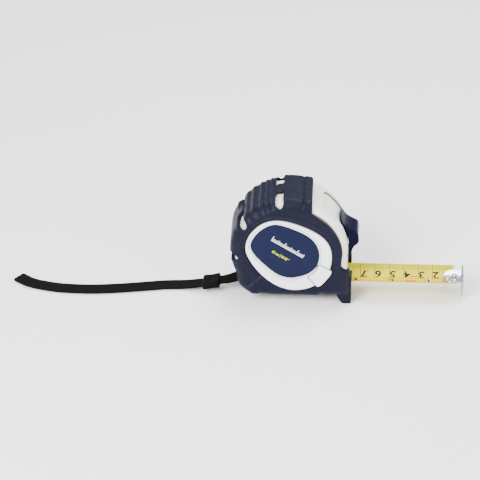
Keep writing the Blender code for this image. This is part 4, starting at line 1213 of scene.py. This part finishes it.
def blade():
    """The strip with its two scales: millimetres at the far edge, sixteenths of an inch at the near one."""
    across = np.unique(np.concatenate([np.linspace(-BLADE_HALF, BLADE_HALF, 49),
                                       [-BLADE_TAB_HALF - 0.01, -BLADE_TAB_HALF + 0.01,
                                        BLADE_TAB_HALF - 0.01, BLADE_TAB_HALF + 0.01]]))
    tails = np.full(len(across), BLADE_TAIL)
    strip = arched_sheet("blade_strip_steel", across, tails, blade_end(across), 0.0, BLADE_THICK, ENAMEL, 30)
    fitted(strip, "blade_strip", "blade", "blade")
    edge, last_mark = BLADE_HALF - 0.15, 72.4
    dark, faint = [], []
    for mm in range(7, 93):
        x = HOOK_FACE - mm
        if mm % 10 == 0:
            dark.append((x, 0.34, 0.0, edge))
        elif mm % 5 == 0:
            dark.append((x, 0.22, 6.0, edge))
        else:
            faint.append((x, 0.2, 8.2, edge))
    sixteenth = 25.4 / 16
    for count in range(5, 59):
        x = HOOK_FACE - count * sixteenth
        if x > last_mark:
            continue
        reach = next(r for step, r in ((16, 0.0), (8, 4.6), (4, 6.6), (2, 8.2), (1, 9.4)) if count % step == 0)
        (dark if count % 4 == 0 else faint).append((x, 0.3 if count % 16 == 0 else 0.2, -edge, -reach))
    blade_marks("blade_scale_lines", dark, INK)
    blade_marks("blade_fine_lines", faint, FINE_INK)
    divider = [(start, end) for start, end in ((BLADE_TAIL + 0.5, 39.0), (48.6, CENTRE_RIVET_X - 2.0),
                                               (CENTRE_RIVET_X + 2.0, TONGUE_TIP + 0.6))]
    blade_marks("blade_divider", [((a + b) / 2, b - a, -0.13, 0.13) for a, b in divider], INK)
    red = [(43.8, 9.4, -0.2, 0.2)]
    red += [(41.4 + 1.75 * i, 1.3, -6.4, -3.2) for i in range(4)]
    red += [(44.2 + 1.7 * i, 1.3, 1.7, 2.9) for i in range(3)]
    blade_marks("blade_red_marks", red, RED_INK)
    numbers = [blade_number(str(n), HOOK_FACE - 10 * n + 2.3, 6.8, 6.1, 180) for n in range(2, 10)]
    numbers += [blade_number(str(n), HOOK_FACE - 25.4 * n + 2.6, -6.8, 5.4, 0) for n in range(1, 4)]
    fitted(merged("blade_numbers", numbers, INK), "blade_strip", "blade")


def end_hook():
    """The tongue lies on the blade, bends down at the zero face and stands up a little above it."""
    across = np.linspace(-TONGUE_HALF, TONGUE_HALF, 33)
    round_end = TONGUE_TIP + 6.0 * (1 - np.sqrt(np.maximum(0.0, 1 - (across / TONGUE_HALF) ** 2)))
    ends = np.full(len(across), HOOK_FACE + HOOK_THICK * 0.6)
    tongue = arched_sheet("end_hook_plate", across, round_end, ends, BLADE_THICK + GAP, 0.8, HOOK, 24)
    corner = 1.8
    low, high = HOOK_FOOT, HOOK_TOP
    outline = []
    for cy, cz, first in ((HOOK_HALF - corner, high - corner, 0), (-HOOK_HALF + corner, high - corner, 90),
                          (-HOOK_HALF + corner, low + corner, 180), (HOOK_HALF - corner, low + corner, 270)):
        for turn in np.radians(np.linspace(first, first + 90, 7)):
            outline.append((cy + corner * math.cos(turn), cz + corner * math.sin(turn)))
    outline = np.array(outline)
    rows = [np.stack([np.full(len(outline), x), outline[:, 0], outline[:, 1]], axis=1)
            for x in (HOOK_FACE, HOOK_FACE + HOOK_THICK)]
    combined(tongue, "UNION", lofted("plate", rows))
    bevelled(tongue, 0.22, 3)
    return fitted(tongue, "hook", "steel", "end_hook")


def rivet(node, x, y, head, foot, top):
    """A shank with a domed, faintly dished head above and a flat one below."""
    below = BLADE_FLOOR - 0.9
    profile = [(0.02, below), (foot * 0.85, below), (foot, below + 0.2), (foot, BLADE_FLOOR - GAP),
               (head * 0.5, BLADE_FLOOR - GAP), (head * 0.5, top), (head, top), (head, top + 0.16),
               (head * 0.93, top + 0.36), (head * 0.76, top + 0.52), (head * 0.5, top + 0.6),
               (head * 0.28, top + 0.56), (0.02, top + 0.52)]
    made = turned(node + "_head", profile, (x, y, 0.0), axis="Z", segments=32, look=STEEL, crease=50)
    return fitted(made, "blade_strip", "steel", node)


def rivets():
    tongue_top = BLADE_FLOOR + BLADE_THICK + GAP + 0.8
    for index, (x, y) in enumerate(RIVET_PLACES):
        rivet(f"hook_rivet_{index + 1}", x, y, 1.8, 1.7, tongue_top + float(rise(abs(y) + 1.8)) + 0.05)
    rivet("blade_rivet", CENTRE_RIVET_X, 0.0, 1.6, 1.4, BLADE_FLOOR + BLADE_THICK + float(rise(1.6)) + 0.05)


# ---------------------------------------------------------------- fasteners and belt clip
def cross_slot(x, z, face, half, depth):
    """A cutter for a cross recess in a screw head."""
    arms = [block("arm", (x - half, x + half), (face - depth, face + 1.0), (z - 0.28, z + 0.28)),
            block("arm", (x - 0.28, x + 0.28), (face - depth, face + 1.0), (z - half, z + half))]
    combined(arms[0], "UNION", arms[1])
    return arms[0]


def screw(node, place, shank, length, head, head_span, slot_half):
    """A pan-head screw along Y with a cross recess."""
    low, high = head_span
    thick = high - low
    profile = [(0.02, low - length), (shank * 0.7, low - length + 0.2), (shank, low - length + 1.2)]
    for index in range(int((length - 2.0) / 0.8)):
        y = low - length + 1.6 + 0.8 * index
        profile += [(shank, y), (shank * 0.82, y + 0.4)]
    profile += [(shank, low - 0.3), (shank, low), (head, low), (head, low + thick * 0.35),
                (head * 0.95, low + thick * 0.62), (head * 0.8, low + thick * 0.85), (head * 0.5, high),
                (0.02, high)]
    made = turned(node + "_turned", profile, (place[0], 0.0, place[1]), segments=28, look=STEEL, crease=45)
    combined(made, "DIFFERENCE", cross_slot(*place, high, slot_half, thick * 0.6))
    return fitted(made, "case", "steel", node)


def screws():
    for index, place in enumerate(SCREW_PLACES):
        screw(f"case_screw_{index + 1}", place, 1.05, 29.9, 2.05, (17.9, 19.1), 1.25)
    screw("clip_screw", CLIP_SCREW, 1.5, 9.25, 3.2, (24.2, 25.5), 1.7)


def belt_clip():
    """A strip of spring steel, folded over at the top and flared at its foot."""
    inner_y, outer_y, fold_z, thick, half = 23.4, 29.6, 61.0, 1.1, 8.0
    bend = (outer_y - inner_y) / 2
    path = [(inner_y, z) for z in np.linspace(33.0, fold_z, 8)]
    for angle in np.radians(np.linspace(172, 8, 16)):
        path.append((inner_y + bend + bend * math.cos(angle), fold_z + bend * math.sin(angle)))
    path += [tuple(p) for p in smooth_line([(outer_y, fold_z - 1.0), (outer_y - 0.2, 45.0), (outer_y - 0.4, 31.0),
                                            (outer_y + 0.9, 25.0)], 6)]
    path = np.array(path)
    ahead = np.gradient(path, axis=0)
    ahead /= np.linalg.norm(ahead, axis=1, keepdims=True)
    normal = np.stack([-ahead[:, 1], ahead[:, 0]], axis=1) * thick / 2
    travelled = np.concatenate([[0], np.cumsum(np.linalg.norm(np.diff(path, axis=0), axis=1))])
    corner = 2.2
    ends = np.minimum(travelled, travelled[-1] - travelled)
    widths = half - corner + np.sqrt(np.maximum(0, corner ** 2 - np.maximum(0, corner - ends) ** 2))
    layers = []
    for sign in (1, -1):
        edge = path + normal * sign
        layers.append(np.stack([np.stack([np.full(9, 1.0) * CLIP_SCREW[0] + w * np.linspace(-1, 1, 9),
                                          np.full(9, y), np.full(9, z)], axis=-1)
                                for (y, z), w in zip(edge, widths)]))
    clip = sheet_solid("belt_clip_strip", layers[0], layers[1], STEEL, crease=30)
    combined(clip, "DIFFERENCE", clip_hole(22.0, 25.0, 28))
    bevelled(clip, 0.18, 2, 50)
    return fitted(clip, "case", "steel", "belt_clip")


# ---------------------------------------------------------------- wrist strap
def strap_frames(steps):
    """Places along the strap with the directions of its width and thickness."""
    line = smooth_line(STRAP_ROUTE, steps)
    ahead = np.gradient(line, axis=0)
    ahead /= np.linalg.norm(ahead, axis=1, keepdims=True)
    wide = np.cross(ahead, (0.0, 0.0, 1.0))
    wide /= np.linalg.norm(wide, axis=1, keepdims=True)
    return line, ahead, wide, np.cross(wide, ahead)


def wrist_strap():
    """Two layers of woven webbing on each other, with rolled edges and a sewn fold at the far end."""
    line, _, wide, thick = strap_frames(34)
    travelled = np.concatenate([[0], np.cumsum(np.linalg.norm(np.diff(line, axis=0), axis=1))])
    half, deep = STRAP_WIDTH / 2 - 0.15, STRAP_THICK / 2 - 0.12
    across = np.linspace(-1, 1, 37)
    pitch, columns = 2.1, 6
    rows, yarn_highlights = [], []
    near_slider = np.linalg.norm(line - np.array(SLIDER_AT), axis=1)
    for index, here in enumerate(line):
        u = travelled[index]
        width = half * (1 - 0.1 * (1 - smoothstep(near_slider[index], 7.0, 12.0)))
        width *= 1 - 0.05 * smoothstep(u, travelled[-1] - 1.2, travelled[-1])
        place = across * columns / 2
        phase = math.tau * u / pitch + math.pi * np.floor(place + 50) + 0.9 * math.pi * (np.abs(place % 1 - 0.5))
        yarn = (0.5 + 0.5 * np.cos(phase)) * np.sqrt(np.abs(np.sin(math.pi * place)) + 0.05)
        edge = np.sqrt(np.maximum(0.0, 1 - np.abs(across) ** 14))
        height = (deep - 0.08) * edge + 0.2 * yarn * edge
        sewn = bell(u, travelled[-1] - 7.0, 0.5) + bell(u, travelled[-1] - 9.0, 0.5)
        height = height - 0.16 * sewn * edge
        top = here + wide[index] * (across * width)[:, None] + thick[index] * height[:, None]
        bottom = here + wide[index] * (across * width)[:, None] - thick[index] * height[:, None]
        side = [here + wide[index] * width * 0.985, here - wide[index] * width * 0.985]
        rows.append(np.vstack([top, side[:1], bottom[::-1], side[1:]]))
        yarn_highlights.append(np.concatenate([yarn, [0.0], yarn[::-1], [0.0]]))
    strap = lofted("wrist_strap_webbing", rows, WEBBING, crease=60)
    # the yarn pattern, kept for the painted highlight on the yarn crests
    yarn_highlight = strap.data.attributes.new("yarn_highlight", "FLOAT", "POINT")
    yarn_highlight.data.foreach_set("value", np.concatenate(yarn_highlights).astype(np.float32))
    return fitted(strap, "case", "strap", "wrist_strap")


def strap_slider():
    """A small block on the strap, pinched in on both faces for the fingers, with a slot right through."""
    line, ahead, wide, thick = strap_frames(34)
    at = int(np.argmin(np.linalg.norm(line - np.array(SLIDER_AT), axis=1)))
    centre, along = np.array(SLIDER_AT), ahead[at]
    half_long, half_wide, half_high, edge = 5.9, 7.15, 2.5, 0.8
    rows = []
    for s in np.concatenate([[-1.0, -0.985, -0.95, -0.88], np.linspace(-0.78, 0.78, 19), [0.88, 0.95, 0.985, 1.0]]):
        u = s * half_long
        drop = rolled(half_long - abs(u), edge)
        pinch = 0.55 * bell(u, 0.0, 3.2)
        ridge = 0.16 * sum(bell(u, place, 0.35) for place in (-2.4, -1.2, 0.0, 1.2, 2.4))
        loop = []
        for turn in np.linspace(0, math.tau, 72, endpoint=False):
            c, s_ = math.cos(turn), math.sin(turn)
            power = 2 / 5.5
            y = (half_wide - drop - 0.55 * bell(u, 0.0, 3.0)) * math.copysign(abs(c) ** power, c)
            dent = (pinch - ridge) * (1 - (y / half_wide) ** 2)
            z = (half_high - drop - dent) * math.copysign(abs(s_) ** power, s_)
            loop.append(centre + along * u + wide[at] * y + thick[at] * z)
        rows.append(loop)
    slider = lofted("strap_slider_block", rows, SLIDER_LOOK, crease=45)
    slot_half_wide, slot_half_high = STRAP_WIDTH / 2 + 0.3, STRAP_THICK / 2 + 0.3
    corners = [(-1, -1), (1, -1), (1, 1), (-1, 1)]
    ends = [[centre + along * u + wide[at] * slot_half_wide * a + thick[at] * slot_half_high * b for a, b in corners]
            for u in (-9.0, 9.0)]
    combined(slider, "DIFFERENCE", lofted("slot", ends))
    return fitted(slider, "slider", "inner", "strap_slider")


# ---------------------------------------------------------------- carried-over pieces
def refinished(look, *nodes):
    """Give CAD nodes that keep their shape a detailed material."""
    for node in nodes:
        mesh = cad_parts[node].data
        mesh.materials.clear()
        mesh.materials.append(look)


# ---------------------------------------------------------------- setting
def floor():
    """A pale floor just under the foot."""
    bpy.ops.mesh.primitive_plane_add(size=12.0, location=(0.0, 0.0, -0.0002))
    ground = bpy.context.object
    ground.name = "studio_floor"
    paint = Finish("pale_floor", (0.9, 0.9, 0.9, 1.0), 0.9, Specular_IOR_Level=0.1)
    ground.data.materials.append(paint.material)


def area_light(name, place, aim, size, watts, colour=(1.0, 1.0, 1.0)):
    data = bpy.data.lights.new(name, "AREA")
    data.shape, data.size, data.energy, data.color = "DISK", size, watts, colour
    made = placed(name, data)
    made.location = place
    made.rotation_euler = (Vector(aim) - Vector(place)).to_track_quat("-Z", "Y").to_euler()


def studio():
    """Soft light from above and the left, a fill from the front and a bright plain surround."""
    world = bpy.data.worlds.new("studio")
    world.use_nodes = True
    world.node_tree.nodes["Background"].inputs["Color"].default_value = (1.0, 1.0, 1.0, 1.0)
    world.node_tree.nodes["Background"].inputs["Strength"].default_value = 1.1
    bpy.context.scene.world = world
    aim = (-0.04, 0.0, 0.04)
    area_light("key", (-0.55, -0.75, 0.75), aim, 0.6, 26.0)
    area_light("top", (0.15, 0.3, 0.95), aim, 0.6, 12.0)
    area_light("fill", (0.8, -0.7, 0.4), aim, 0.6, 9.0)


AZIMUTH, ELEVATION = 2.5, 31.5           # degrees round the case, and above the table
CAMERA_AIM = (-0.0744, 0.0, 0.0388)
CAMERA_FAR = 2.0                        # metres from the aim
PICTURE_WIDE = 0.331                     # metres across the picture at the aim


def camera():
    data = bpy.data.cameras.new("camera")
    turn, up = math.radians(AZIMUTH), math.radians(ELEVATION)
    back = Vector((math.sin(turn) * math.cos(up), -math.cos(turn) * math.cos(up), math.sin(up)))
    data.sensor_width = 36.0
    data.lens = 36.0 * CAMERA_FAR / PICTURE_WIDE
    data.clip_start, data.clip_end = 0.01, 20.0
    made = placed("camera", data)
    made.location = Vector(CAMERA_AIM) + back * CAMERA_FAR
    made.rotation_euler = (-back).to_track_quat("-Z", "Y").to_euler()
    bpy.context.scene.camera = made


for which, word in ((NEAR, "near"), (FAR, "far")):
    case_shell(which, word)
    jacket(which, word)
    side_ring(which, word)
    side_label(which, word)
label_print(NEAR, "near")
side_button()
button_spring()
thumb_lock()
blade()
end_hook()
rivets()
screws()
belt_clip()
strap = wrist_strap()
slider = strap_slider()
refinished(STEEL, "strap_pin", "arbor_post")
refinished(SPRING, "power_spring")
refinished(INNER, "spool_drum", "spool_cover", "brake_lever")
refinished(RUBBER, "brake_pad")
refinished(COIL, "blade_coil")
floor()
studio()
camera()
